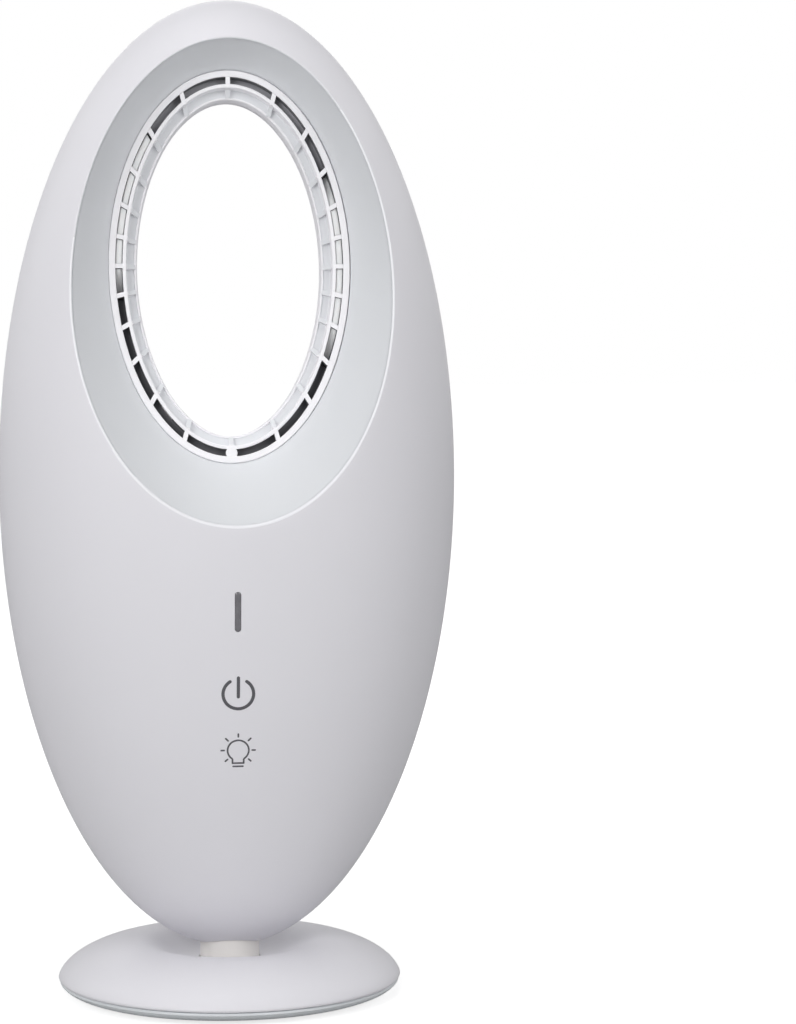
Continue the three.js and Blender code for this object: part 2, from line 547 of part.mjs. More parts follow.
const batteryCell = () => turned([
  [0, 0], [CELL.r - 0.5, 0], [CELL.r, 0.5], [CELL.r, CELL.length - 2.2], [CELL.r - 0.6, CELL.length - 1.2],
  [3, CELL.length - 1.2], [3, CELL.length], [0, CELL.length]], 20)
  .translate(0, 0, -CELL.length / 2).rotateY(Math.PI / 2).translate(0, 0, CELL.z);

// A trough that hugs the cell from below, on a leg that stands on the neck's flange.
function batteryCradle() {
  const inner = CELL.r + GAP;
  const outer = inner + CRADLE.wall;
  const high = CRADLE.wingZ - CELL.z;
  const start = Math.asin(high / outer);
  const end = Math.asin(high / inner);
  const section = new THREE.Shape();
  section.absarc(0, 0, outer, Math.PI - start, start + Math.PI * 2, false);
  section.absarc(0, 0, inner, end + Math.PI * 2, Math.PI - end, true);
  const trough = new THREE.ExtrudeGeometry(section, { depth: CRADLE.length, bevelEnabled: false, curveSegments: 8 })
    .translate(0, 0, -CRADLE.length / 2).rotateX(Math.PI / 2).rotateZ(Math.PI / 2).translate(0, 0, CELL.z);
  const leg = tube(6, 9, NECK.topZ + GAP, CELL.z - inner - 0.6, SIDES.small);
  return join(trough, leg);
}

const controlBoard = () => bar([-BOARD.width / 2, BOARD.width / 2],
  [BOARD.frontY, BOARD.frontY + BOARD.thick], [BOARD.bottomZ, BOARD.topZ]);

const touchPad = (z) => pinY(KEYS.r, -surfaceY(KEYS.r, z - KEYS.r, WALL) + 2 * GAP,
  BOARD.frontY - GAP, 0, z, SIDES.small);

const indicatorLens = () => plateY(shifted(slotShape(LENS.width, LENS.height), 0, LENS.z),
  -surfaceY(0, LENS.z, -0.15), BOARD.frontY - GAP);

function usbSocket() {
  const outside = plateY(shifted(slotShape(USB.width, USB.height), 0, USB.z), USB.frontY - USB.depth, USB.frontY);
  const inside = plateY(shifted(slotShape(USB.width - 0.6, USB.height - 0.6), 0, USB.z),
    USB.frontY - USB.depth + 1, USB.frontY + 1);
  const tongue = bar([-3.3, 3.3], [USB.frontY - USB.depth + 0.5, USB.frontY - 1], [USB.z - 0.35, USB.z + 0.35]);
  return cut(solid(outside), inside).add(solid(tongue));
}

const chargeBoard = () => bar([-CHARGE_BOARD.width / 2, CHARGE_BOARD.width / 2],
  [CHARGE_BOARD.fromY, CHARGE_BOARD.toY],
  [USB.z - USB.height / 2 - GAP - CHARGE_BOARD.thick, USB.z - USB.height / 2 - GAP]);

// ---------------------------------------------------------------- duct, motor and impeller

// A blade or vane from one radius to another; its chord turns about the axis as it rises.
function blade(fromR, toR, bottomZ, topZ, angle, rootPitch, tipPitch, thick) {
  const half = (topZ - bottomZ) / 2;
  const loops = steps(2).map((k) => {
    const r = mix(fromR, toR, k);
    const turn = half * Math.tan(rad(mix(rootPitch, tipPitch, k))) / r;
    const side = (s) => [-1, 0, 1].map((q) => {
      const at = angle + turn * q + 0.12 * turn * (1 - q * q) + s * thick * (q === 0 ? 1 : 0.6) / 2 / r;
      return new THREE.Vector3(r * Math.cos(at), r * Math.sin(at), bottomZ + half * (1 + q));
    });
    return [...side(1), ...side(-1).reverse()];
  });
  return skin(loops, true);
}

function impellerDuct() {
  const outerR = DUCT.r + DUCT.wall;
  const barrel = turned([
    [DUCT.bellR, DUCT.bottomZ], [DUCT.r, DUCT.bottomZ + 3.4],
    [DUCT.r, DUCT.topZ], [DUCT.flangeR, DUCT.topZ], [DUCT.flangeR, DUCT.topZ - DUCT.flange],
    [outerR, DUCT.topZ - DUCT.flange], [outerR, DUCT.bottomZ + 4.6], [DUCT.bellR + 1, DUCT.bottomZ + 1.2],
    [DUCT.bellR, DUCT.bottomZ]], SIDES.duct);
  const cup = turned([
    [STATOR.cupR - STATOR.cupWall, STATOR.bottomZ], [STATOR.cupR, STATOR.bottomZ], [STATOR.cupR, STATOR.topZ],
    [6, STATOR.tailZ], [0, STATOR.tailZ], [0, STATOR.topZ - 1], [STATOR.cupR - STATOR.cupWall, STATOR.topZ - 1],
    [STATOR.cupR - STATOR.cupWall, STATOR.bottomZ]]);
  const vanes = [];
  for (let i = 0; i < STATOR.vanes; i++) {
    vanes.push(blade(STATOR.cupR - 0.6, DUCT.r + 0.8, STATOR.bottomZ + 2, STATOR.topZ - 1,
      (i / STATOR.vanes) * Math.PI * 2, -30, -18, 1.4));
  }
  return join(barrel, cup, ...vanes);
}

const motor = () => turned([
  [MOTOR.boreR, MOTOR.bottomZ], [6, MOTOR.bottomZ], [MOTOR.r - 1, MOTOR.bottomZ + 0.6], [MOTOR.r, MOTOR.bottomZ + 1.6],
  [MOTOR.r, MOTOR.topZ], [0, MOTOR.topZ], [0, SHAFT.topZ + 0.6], [MOTOR.boreR, SHAFT.topZ + 0.6],
  [MOTOR.boreR, MOTOR.bottomZ]]);

const motorShaft = () => disc(SHAFT.r, SHAFT.bottomZ, SHAFT.topZ, SIDES.small);

function impeller() {
  const hub = turned([
    [0, IMPELLER.bottomZ], [IMPELLER.noseR, IMPELLER.bottomZ], [11.4, 83], [IMPELLER.hubR, IMPELLER.topZ],
    [IMPELLER.hubR - 1.8, IMPELLER.topZ], [5, 86], [0, 86]]);
  const blades = [];
  for (let i = 0; i < IMPELLER.blades; i++) {
    blades.push(blade(9.2, IMPELLER.r, IMPELLER.bottomZ + 1.2, IMPELLER.topZ - 1,
      (i / IMPELLER.blades) * Math.PI * 2, 34, 56, 1.3));
  }
  const bore = disc(IMPELLER.boreR, IMPELLER.bottomZ - 1, IMPELLER.topZ + 1, SIDES.round);
  return cut(join(hub, ...blades), bore);
}

const hubCap = () => turned([[0, CAP.bottomZ], [3.4, CAP.bottomZ + 0.5], [6.2, CAP.bottomZ + 2],
  [CAP.r, IMPELLER.bottomZ - GAP], [0, IMPELLER.bottomZ - GAP]]);

// The wall between the intake room below and the pressure room above, notched for the board.
function bafflePlate() {
  const at = (z) => steps(SIDES.base).slice(0, -1).map((k) => {
    const angle = k * Math.PI * 2;
    const share = Math.sqrt(1 - ((z - BODY.z) / (BODY.c - WALL)) ** 2);
    const [a, b] = [(BODY.a - WALL) * share - BAFFLE.side, (BODY.b - WALL) * share - BAFFLE.side];
    return new THREE.Vector3(a * Math.cos(angle), b * Math.sin(angle), z);
  });
  const plate = skin([at(BAFFLE.z), at(BAFFLE.z + BAFFLE.thick)], true);
  const hole = disc(DUCT.r + DUCT.wall + GAP, BAFFLE.z - 5, BAFFLE.z + 10, SIDES.duct);
  const reach = BOARD.width / 2 + 1;
  const notch = bar([-reach, reach], [-60, BOARD.frontY + BOARD.thick + 0.5], [BAFFLE.z - 5, BAFFLE.z + 10]);
  return cut(solid(plate), hole, notch);
}

// ---------------------------------------------------------------- materials and assembly

const finish = (color, roughness, metalness = 0) => new THREE.MeshStandardMaterial(
  { color, roughness, metalness, flatShading: true });
const FINISHES = {
  white: () => finish(0xe9e9ee, 0.32),
  grille: () => finish(0xf0eff4, 0.38),
  tray: () => finish(0xd2d6da, 0.45),
  neck: () => finish(0xd9d7d2, 0.4),
  diffuser: () => finish(0xfafafa, 0.5),
  smoke: () => finish(0x615f66, 0.25),
  darkPlastic: () => finish(0x35363a, 0.5),
  rubber: () => finish(0x26272a, 0.85),
  steel: () => finish(0xb8babd, 0.3, 0.9),
  ballast: () => finish(0x6f7276, 0.45, 0.8),
  acetal: () => finish(0xefeade, 0.4),
  cell: () => finish(0x2f8f6a, 0.4),
  board: () => finish(0x1f6b3c, 0.5),
  foam: () => finish(0x3c3c40, 0.9),
};

function piece(name, made, kind) {
  const geometry = made instanceof THREE.BufferGeometry ? made : geometryOf(made);
  geometry.computeVertexNormals();
  const mesh = new THREE.Mesh(geometry, FINISHES[kind]());
  mesh.name = name;
  return mesh;
}

function baseGroup() {
  const group = new THREE.Group();
  group.add(
    piece('base_top_shell', baseTopShell(), 'white'),
    piece('base_bottom_tray', baseTray(), 'tray'),
    piece('ballast_ring', tube(BALLAST.innerR, BALLAST.outerR, BALLAST.bottomZ, BALLAST.topZ, SIDES.duct), 'ballast'),
    piece('swivel_bush', swivelBush(), 'acetal'),
    piece('friction_washer', frictionWasher(), 'steel'));
  footPlaces().forEach(([x, y], i) => {
    const one = piece(`foot_${i + 1}`, foot(), 'rubber');
    one.position.set(x, y, 0);
    group.add(one);
  });
  screwPlaces().forEach(([x, y], i) => {
    const length = BASE_SCREW.topZ - BASE_SCREW.headZ;
    const one = piece(`base_screw_${i + 1}`, screw(BASE_SCREW.r, BASE_SCREW.headR, 0.6, length), 'steel');
    one.position.set(x, y, BASE_SCREW.headZ);
    group.add(one);
  });
  return group;
}

// The grille, light guides and LED strips share the ring's leaning frame.
function ringGroup() {
  const group = new THREE.Group();
  group.position.set(0, RING.y, RING.z);
  group.rotation.x = -RING.lean;
  group.add(
    piece('outlet_grille', outletGrille(), 'grille'),
    piece('light_guide_right', lightGuide(RIGHT_LIGHT), 'diffuser'),
    piece('light_guide_left', lightGuide(LEFT_LIGHT), 'diffuser'),
    piece('led_strip_right', ledStrip(RIGHT_LIGHT), 'board'),
    piece('led_strip_left', ledStrip(LEFT_LIGHT), 'board'));
  return group;
}

function headGroup() {
  const group = new THREE.Group();
  group.add(
    piece('front_shell', frontShell(), 'white'),
    piece('rear_shell', rearShell(), 'white'),
    piece('intake_grille', intakeGrille(), 'white'),
    ringGroup(),
    piece('neck_post', neckPost(), 'neck'),
    piece('post_retainer', postRetainer(), 'acetal'),
    piece('battery_cell', batteryCell(), 'cell'),
    piece('battery_cradle', batteryCradle(), 'darkPlastic'),
    piece('control_board', controlBoard(), 'board'),
    piece('touch_pad_power', touchPad(KEYS.powerZ), 'foam'),
    piece('touch_pad_lamp', touchPad(KEYS.lampZ), 'foam'),
    piece('indicator_lens', indicatorLens(), 'smoke'),
    piece('usb_socket', usbSocket(), 'steel'),
    piece('charge_board', chargeBoard(), 'board'),
    piece('impeller_duct', impellerDuct(), 'darkPlastic'),
    piece('baffle_plate', bafflePlate(), 'darkPlastic'),
    piece('motor', motor(), 'steel'));
  SCREW_PLACES.forEach(([x, z], i) => {
    const length = SHELL_SCREW.headY + 2 - SHELL_SCREW.tipY;
    const one = piece(`shell_screw_${i + 1}`, screw(SHELL_SCREW.r, SHELL_SCREW.headR, 2, length), 'steel');
    one.position.set(x, SHELL_SCREW.headY + 2, z);
    one.rotation.x = Math.PI / 2;
    group.add(one);
  });
  return group;
}

function impellerGroup() {
  const group = new THREE.Group();
  group.add(
    piece('impeller', impeller(), 'darkPlastic'),
    piece('hub_cap', hubCap(), 'darkPlastic'),
    piece('motor_shaft', motorShaft(), 'steel'));
  return group;
}

const fan = new THREE.Group();
fan.add(baseGroup(), headGroup(), impellerGroup());

export default fan;
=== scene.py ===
"""Bladeless desk fan: fine moulded surfaces, materials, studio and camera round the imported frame.

Lengths are in millimetres until a mesh is made, and the formulas are those of the solids:
an ellipsoid body, a funnelled oval recess, and an outlet ring in a frame that leans back.
"""
import math

import bmesh
import bpy
import numpy as np
from mathutils import Euler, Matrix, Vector

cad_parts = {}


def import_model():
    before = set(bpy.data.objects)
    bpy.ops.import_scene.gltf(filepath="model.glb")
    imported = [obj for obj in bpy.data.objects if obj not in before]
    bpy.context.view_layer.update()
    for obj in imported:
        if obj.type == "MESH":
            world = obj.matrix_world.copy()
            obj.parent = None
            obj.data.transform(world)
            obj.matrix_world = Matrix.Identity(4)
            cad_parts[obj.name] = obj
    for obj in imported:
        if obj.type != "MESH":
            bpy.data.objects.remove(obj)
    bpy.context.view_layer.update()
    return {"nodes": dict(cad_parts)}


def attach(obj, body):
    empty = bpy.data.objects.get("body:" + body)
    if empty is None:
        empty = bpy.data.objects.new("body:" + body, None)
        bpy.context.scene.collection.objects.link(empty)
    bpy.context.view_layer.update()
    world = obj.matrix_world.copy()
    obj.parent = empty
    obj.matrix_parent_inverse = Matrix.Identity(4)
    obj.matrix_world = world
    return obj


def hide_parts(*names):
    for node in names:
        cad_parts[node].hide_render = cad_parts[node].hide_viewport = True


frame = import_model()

# ---- dimensions, millimetres

MM = 0.001
GAP = 0.3
WALL = 2.2
BODY_A, BODY_B, BODY_C, BODY_Z, SPLIT_Y = 68.8, 46.0, 143.0, 157.0, 6.0
RECESS_A, RECESS_C, RECESS_Z, RECESS_EGG, RECESS_EDGE, RECESS_BOW = 47.2, 71.2, 216.1, 0.045, 0.5, 0.8
RING_A, RING_C, RING_Y, RING_Z, RING_LEAN = 35.9, 58.8, -11.7, 220.4, math.radians(6.7)
MOUTH_A, MOUTH_C, MOUTH_Z, MOUTH_EDGE, MOUTH_WALL = 41.0, 64.0, 213.0, 2.0, 2.4
SEAM = 0.22                        # rounding of the shells' parting edges

FLANGE, SLOT, LIP, HOLE = 2.0, 2.1, 1.1, 8.4
SLOT_OUT, SLOT_IN = -FLANGE, -FLANGE - SLOT
LIP_IN = SLOT_IN - LIP
SKIRT_DEPTH, GRILLE_DEPTH = 7.0, 9.2
RIB_COUNT, RIB_WIDTH = 24, 1.35
BOSS_R, BOSS_INSET = 1.75, 3.05
POCKET_DEPTH, RIDGE_OUT, RIDGE_DEPTH, RIM_IN, RIM_DEPTH = 3.4, -7.7, 3.1, -8.6, 6.0
SCREEN_DEPTH, SCREEN_THICK, STRIP_END = 3.4, 0.5, 1.6    # the last in degrees
LEDGE_REACH, LEDGE_FRONT, LEDGE_BACK, LEDGE_ROOT, LEDGE_ROOT_DEPTH = 0.7, 1.8, 3.8, 2.6, 3.6
HOOK_ANGLES, HOOK_HALF, HOOK_ROOT, HOOK_TIP, HOOK_LAND, HOOK_LENGTH = (35, 145, 215, 325), 4, -1.4, -0.1, 0.5, 2.0
GUIDE_FRONT, GUIDE_BACK, GUIDE_RIB_DEPTH, GUIDE_SUNK, GUIDE_GAP = 0.35, 8.2, 6.3, 3.2, 0.13
RIGHT_LIGHT = (45, 135, 15, 15)    # from, to, and the ramps at both ends, degrees from the top
LEFT_LIGHT = (-105, -30, 15, 0)

INTAKE_A, INTAKE_C, INTAKE_Z, INTAKE_LIP, INTAKE_THICK = 30.0, 26.0, 84.0, 2.0, 1.4
SLOT_HIGH, SLOT_PITCH, SLOT_ROWS, MULLION = 3.4, 7.0, 6, 2.4

BASE_R, BASE_SPLIT, CREST_R, CREST_Z, SHOULDER_Z, HUB_Z, BASE_WALL = 52.1, 4.5, 28.5, 15.7, 5.0, 10.2, 2.1
SHOULDER_BEND, BASE_SEAM, DISH_END = 1.28, 0.12, 0.965
TRAY_RIM_R, TRAY_FLAT_R, TRAY_BOTTOM, TRAY_FLOOR = 51.6, 43.0, 0.8, 2.8
HUB_R, HUB_WALL, HUB_BOTTOM, HUB_LIP_R = 10.4, 2.2, 6.3, 9.45
NECK_R, STEM_R, NECK_BORE, NECK_BOTTOM, NECK_FLANGE_R, NECK_FLANGE_Z, NECK_TOP = 9.0, 8.0, 5.0, 5.4, 12.5, 24.0, 27.0
CLAMP_R, CLAMP_LOW, CLAMP_TOP, CLAMP_GAP, NECK_HOLE = 15.0, 12.0, 30.0, 0.6, (8, 30)
STOP_IN, STOP_OUT, STOP_TOP, STOP_ANGLE, STOP_HALF = 12.1, 15.2, 5.0, 61.5, 5.0
FOOT_R, FOOT_RING, FOOT_HEIGHT = 5.0, 36.0, 1.2
BASE_SCREW_RING, BASE_SCREW_R, BASE_SCREW_HEAD, BASE_SCREW_Z, BASE_SCREW_TOP = 40.4, 1.3, 2.6, 1.0, 8.5

LENS_X, LENS_WIDTH, LENS_HEIGHT, LENS_Z, LENS_GAP = 0.1, 1.7, 11.6, 120.15, 0.07
POWER_X, POWER_Z, LAMP_X, LAMP_Z, BOARD_FRONT = 0.27, 96.0, 0.36, 79.1, -33.4
POST_R, POST_X, POST_ZS = 1.8, 9.4, (81, 125)
SHELF_REACH, SHELF_LOW, SHELF_HIGH, SHELF_FROM, SHELF_TO = 4.0, 113.9, 115.9, 26, 44
USB_Z, USB_WIDTH, USB_HEIGHT, USB_DEPTH, USB_FRONT = 45.0, 8.94, 3.2, 7.3, 27.2
SCREW_PLACES = ((-44, 88), (44, 88), (-56, 172), (56, 172))
SCREW_R, SCREW_HEAD, SCREW_RECESS, SCREW_HEAD_Y, SCREW_TIP_Y, SCREW_BOSS = 1.5, 2.8, 3.2, 14.3, -6.0, 4.2

# where the painted highlight along the recess's edge lies
HIGHLIGHT_IN, HIGHLIGHT_OUT, HIGHLIGHT_FROM, HIGHLIGHT_TO = 0.9945, 1.007, 32, 285    # shares of the recess, and degrees from the top
LAMP_DISTANCE, LAMP_SIZE = 1.35, 0.7               # metres
AMBIENT, FLOOR_GLOW, GLOW_REACH = 0.04, 0.75, (0.12, 0.5)
COLUMNS, ROUND = 216, 128          # points round the body's ovals, and round turned pieces
SHARP_EDGE = 38                    # degrees


# ---- mesh tools

def skin(rows, ends="loop"):
    """Quads through rows of points; the last row joins the first, or caps or nothing end them."""
    count = len(rows[0])
    last = len(rows) - (ends != "loop")
    faces = []
    for i in range(last):
        here, there = i * count, (i + 1) % len(rows) * count
        faces += [(here + j, here + (j + 1) % count, there + (j + 1) % count, there + j) for j in range(count)]
    if ends == "caps":
        faces += [tuple(range(count)), tuple(range(last * count + count - 1, last * count - 1, -1))]
    return np.vstack(rows), faces


def together(shapes):
    """Several separate shapes as one."""
    points, faces, start = [], [], 0
    for some, their in shapes:
        points.append(some)
        faces += [tuple(start + i for i in face) for face in their]
        start += len(some)
    return np.vstack(points), faces


def make(name, shape):
    """A mesh object in metres, corners merged, its faces pointing out."""
    points, faces = shape
    mesh = bpy.data.meshes.new(name)
    mesh.from_pydata((np.asarray(points) * MM).tolist(), [], faces)
    bm = bmesh.new()
    bm.from_mesh(mesh)
    bmesh.ops.remove_doubles(bm, verts=bm.verts, dist=2e-6)
    bmesh.ops.recalc_face_normals(bm, faces=bm.faces)
    bm.to_mesh(mesh)
    bm.free()
    obj = bpy.data.objects.new(name, mesh)
    bpy.context.scene.collection.objects.link(obj)
    return obj


def shape_of(obj):
    """The points, in millimetres, and faces of an object made here."""
    points = np.array([v.co[:] for v in obj.data.vertices]) / MM
    return points, [tuple(f.vertices) for f in obj.data.polygons]


def bake(obj):
    """Its modifiers become its mesh."""
    graph = bpy.context.evaluated_depsgraph_get()
    mesh = bpy.data.meshes.new_from_object(obj.evaluated_get(graph))
    obj.modifiers.clear()
    obj.data = mesh


def carve(obj, shapes, operation="DIFFERENCE"):
    """Cuts separate shapes out of obj, or joins them to it."""
    tool = make("tool", together(shapes))
    change = obj.modifiers.new("cut", "BOOLEAN")
    change.operation, change.solver, change.object = operation, "MANIFOLD", tool
    bake(obj)
    bpy.data.objects.remove(tool)
    return obj


def piece(name, obj, body, slot):
    """The finished piece that stands for the CAD node of this name, or else is one of the scene's own."""
    if not isinstance(obj, bpy.types.Object):
        obj = make("piece", obj)
    in_cad = name in frame["nodes"]
    obj.name = f"{name}_fine" if in_cad else name
    obj.data.shade_smooth()
    obj.data.set_sharp_from_angle(angle=math.radians(SHARP_EDGE))
    obj.data.materials.clear()
    obj.data.materials.append(MATERIALS[slot])
    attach(obj, body)
    if in_cad:
        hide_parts(name)
    return obj


def tint(obj, material, test):
    """Another material on the faces whose middle, in millimetres, and normal pass the test."""
    obj.data.materials.append(MATERIALS[material])
    for face in obj.data.polygons:
        if test(face.center / MM, face.normal):
            face.material_index = len(obj.data.materials) - 1


def curve(p, corner, q, steps):
    return [p * (1 - k) ** 2 + 2 * corner * k * (1 - k) + q * k * k for k in np.linspace(0, 1, steps)]


def soften(corners, closed=True, steps=5):
    """An outline whose corners (u, v, radius) are rounded; without a radius they stay sharp."""
    spots = [np.array(c[:2], float) for c in corners]
    radii = [c[2] if len(c) > 2 else 0 for c in corners]
    out = []
    for i, (spot, r) in enumerate(zip(spots, radii)):
        end = not closed and i in (0, len(spots) - 1)
        if r == 0 or end:
            out.append(spot)
            continue
        before, after = spots[i - 1] - spot, spots[(i + 1) % len(spots)] - spot
        p = spot + before * min(r / np.linalg.norm(before), 0.49)
        q = spot + after * min(r / np.linalg.norm(after), 0.49)
        out += curve(p, spot, q, steps)
    return out


def ring_row(r, z, sides=ROUND):
    angle = np.arange(sides) / sides * 2 * math.pi
    return row(r * np.cos(angle), r * np.sin(angle), z)


def turned(profile, sides=ROUND):
    """A turned shape from (radius, height) points: closed, or from the axis to the axis."""
    on_axis = profile[0][0] < 1e-6 and profile[-1][0] < 1e-6
    return skin([ring_row(r, z, sides) for r, z in profile], "open" if on_axis else "loop")


def moved(shape, x=0, y=0, z=0):
    return shape[0] + np.array([x, y, z]), shape[1]


def rod(r, bottom, top, sides=48):
    return turned([(0, bottom), (r, bottom), (r, top), (0, top)], sides)


def along_y(shape, x, y, z):
    """A shape made along +Z, laid along -Y with its start at (x, y, z)."""
    points, faces = shape
    return row(points[:, 0] + x, y - points[:, 2], points[:, 1] + z), faces


# ---- ovals and the body's surface

T = np.arange(COLUMNS) / COLUMNS * 2 * math.pi


def oval(a, c, z, t, out=0.0, egg=0.0):
    """X and Z of an oval's points, angle t from its top, moved outwards by out."""
    nx, nz = np.sin(t) / a, np.cos(t) / c
    size = np.hypot(nx, nz)
    return a * np.sin(t) * (1 - egg * np.cos(t)) + out * nx / size, z + c * np.cos(t) + out * nz / size


def recess_edge(out=0.0):
    return oval(RECESS_A, RECESS_C, RECESS_Z, T, out, RECESS_EGG)


def mouth_edge(out=0.0):
    return oval(MOUTH_A, MOUTH_C, MOUTH_Z, T, out)


def surface_y(x, z, inset=0.0):
    u, w = x / (BODY_A - inset), (z - BODY_Z) / (BODY_C - inset)
    return (BODY_B - inset) * np.sqrt(np.maximum(0, 1 - u * u - w * w))


def row(x, y, z):
    return np.column_stack(np.broadcast_arrays(x, y, z))


def on_body(spot, side, inset=0.0):
    return row(spot[0], side * surface_y(*spot, inset), spot[1])


def outline(y, inset=0.0):
    k = math.sqrt(1 - (y / (BODY_B - inset)) ** 2)
    return oval((BODY_A - inset) * k, (BODY_C - inset) * k, BODY_Z, T)


def body_rows(side, inset, end, split_y, count):
    """Rows over the body from the parting plane to the edge at end."""
    rows = []
    if inset == 0:
        rim = outline(split_y, SEAM)
        rows.append(row(rim[0], split_y, rim[1]))
        split_y += side * SEAM
    start_y = split_y if split_y * side > 0 else 0.0
    for y in np.linspace(split_y, start_y, 1 if start_y else 4):
        rim = outline(y, inset)
        rows.append(row(rim[0], y, rim[1]))
    start = outline(start_y, inset)
    widest = math.radians(70)
    for k in np.linspace(0, 1, count)[1:]:
        share = (1 - math.cos(k * widest)) / (1 - math.cos(widest))
        spot = [p + (q - p) * share for p, q in zip(start, end)]
        rows.append(on_body(spot, side, inset))
    return rows


def lean(x, depth, z):
    """A point of the ring's own frame, turned back by its lean and put in its place."""
    cos, sin = math.cos(RING_LEAN), math.sin(RING_LEAN)
    return row(x, RING_Y + depth * cos + z * sin, RING_Z - depth * sin + z * cos)


def ring_point(out, depth):
    x, z = oval(RING_A, RING_C, 0, T, out)
    return lean(x, depth, z)


def punch(shape_at, side, lip, to_y):
    """A cutter through the body's skin whose mouth is rounded by lip; shape_at(e) gives X and Z."""
    rows = []
    for degrees in (18, 18, 36, 54, 72, 90):
        angle = math.radians(degrees)
        spread, inset = lip * (1 - math.sin(angle)), lip * (1 - math.cos(angle))
        rows.append(on_body(shape_at(spread), side, -3 if not rows else inset))
    x, z = shape_at(0)
    return skin([*rows, row(x, to_y, z)], "caps")


def slot_outline(x, z, width, height, steps=14, corner=None):
    """shape_at for a slot with rounded ends, round (x, z)."""
    def at(spread):
        w, h = width / 2 + spread, height / 2 + spread
        r = min(w, h) if corner is None else corner + spread
        turn = np.linspace(0, math.pi / 2, steps)
        arcs = [((w - r) * sx, (h - r) * sz, q) for sx, sz, q in ((1, 1, 0), (-1, 1, 1), (-1, -1, 2), (1, -1, 3))]
        xs = [x + cx + r * np.cos(turn + q * math.pi / 2) for cx, cz, q in arcs]
        zs = [z + cz + r * np.sin(turn + q * math.pi / 2) for cx, cz, q in arcs]
        return np.concatenate(xs), np.concatenate(zs)
    return at


# ---- materials

def linear(r, g, b):
    """A colour written as it shows on a screen, 0 to 255."""
    def one(v):
        v /= 255
        return v / 12.92 if v <= 0.04045 else ((v + 0.055) / 1.055) ** 2.4
    return one(r), one(g), one(b), 1.0


class Graph:
    """A few short words for a node tree."""

    def __init__(self, owner):
        owner.use_nodes = True
        self.nodes, self.links = owner.node_tree.nodes, owner.node_tree.links

    def feed(self, sockets, values):
        for key, value in values.items():
            if isinstance(value, bpy.types.NodeSocket):
                self.links.new(value, sockets[key])
            else:
                sockets[key].default_value = value

    def add(self, kind, inputs=None, **settings):
        node = self.nodes.new(kind)
        for key, value in settings.items():
            setattr(node, key, value)
        self.feed(node.inputs, inputs or {})
        return node

    def ramp(self, value, low, high, to_low, to_high):
        wants = {"Value": value, "From Min": low, "From Max": high, "To Min": to_low, "To Max": to_high}
        return self.add("ShaderNodeMapRange", wants).outputs["Result"]

    def math(self, operation, one, other):
        return self.add("ShaderNodeMath", {0: one, 1: other}, operation=operation).outputs[0]


class Build(Graph):
    """A material, its shader and the patterns that it is built from."""

    def __init__(self, name):
        self.material = bpy.data.materials.new(name)
        super().__init__(self.material)
        self.shader = self.nodes["Principled BSDF"]
        self.where = self.add("ShaderNodeTexCoord").outputs["Object"]

    def noise(self, scale, detail=2.0, rough=0.5, where=None):
        wants = {"Vector": where or self.where, "Scale": scale, "Detail": detail, "Roughness": rough}
        return self.add("ShaderNodeTexNoise", wants).outputs["Fac"]

    def stretched(self, scale):
        return self.add("ShaderNodeMapping", {"Vector": self.where, "Scale": scale}).outputs["Vector"]

    def mix(self, factor, one, other):
        return self.add("ShaderNodeMix", {0: factor, 6: one, 7: other}, data_type="RGBA").outputs[2]

    def edges(self, most):
        """How far a spot is on a convex edge, from 0 to most."""
        return self.ramp(self.add("ShaderNodeNewGeometry").outputs["Pointiness"], 0.52, 0.6, 0, most)

    def bump(self, height, distance):
        wants = {"Height": height, "Distance": distance * MM, "Strength": 1.0}
        return self.add("ShaderNodeBump", wants).outputs["Normal"]

    def put(self, **inputs):
        self.feed(self.shader.inputs, {key.replace("_", " "): value for key, value in inputs.items()})
        return self.material


def shade(colour, k):
    return tuple(c * k for c in colour[:3]) + (1.0,)


def moulded(name, colour, rough, level=0.5, depth=0.006, drift=0.985):
    """Moulded plastic: a fine spark-eroded grain, a slow drift of tone and gloss, paler edges."""
    b = Build(name)
    tone = b.mix(b.noise(22, 3), shade(colour, drift), shade(colour, 2 - drift))
    worn = b.mix(b.edges(0.35), tone, shade(colour, 1.06))
    speck = b.ramp(b.noise(5200, 1), 0.3, 0.7, 0, 0.25)
    gloss = b.ramp(b.noise(60, 4, 0.6), 0.3, 0.7, rough - 0.035, rough + 0.035)
    return b.put(Base_Color=b.mix(speck, worn, shade(colour, 0.985)), Roughness=gloss,
                 Normal=b.bump(b.noise(1600), depth), Specular_IOR_Level=level)


def diffuser(name, colour):
    """Milky plastic that lets light in."""
    b = Build(name)
    cloud = b.noise(260, 3)
    tone = b.mix(cloud, shade(colour, 0.97), colour)
    return b.put(Base_Color=tone, Roughness=b.ramp(b.noise(90, 2), 0.3, 0.7, 0.42, 0.52), Subsurface_Weight=0.35,
                 Subsurface_Radius=(0.0022, 0.002, 0.0019), Subsurface_Scale=1.0, Normal=b.bump(cloud, 0.004))


def metal(name, colour, rough, stretch=(40, 40, 900), scale=9):
    """Plated or turned metal with fine drawn lines."""
    b = Build(name)
    lines = b.noise(scale, 4, where=b.stretched(stretch))
    tone = b.mix(b.ramp(b.noise(120, 4), 0.35, 0.7, 0, 1), shade(colour, 0.86), colour)
    return b.put(Base_Color=b.mix(b.edges(0.6), tone, shade(colour, 1.18)), Metallic=1.0,
                 Roughness=b.ramp(lines, 0.3, 0.7, rough - 0.07, rough + 0.09), Normal=b.bump(lines, 0.004))


def rubber(name, colour):
    b = Build(name)
    dust = b.ramp(b.noise(500, 4, 0.7), 0.5, 0.75, 0, 0.5)
    tone = b.mix(dust, colour, shade(colour, 2.6))
    return b.put(Base_Color=tone, Roughness=b.ramp(b.noise(900, 3), 0.3, 0.7, 0.78, 0.92),
                 Normal=b.bump(b.noise(2400, 3), 0.02), Specular_IOR_Level=0.3)


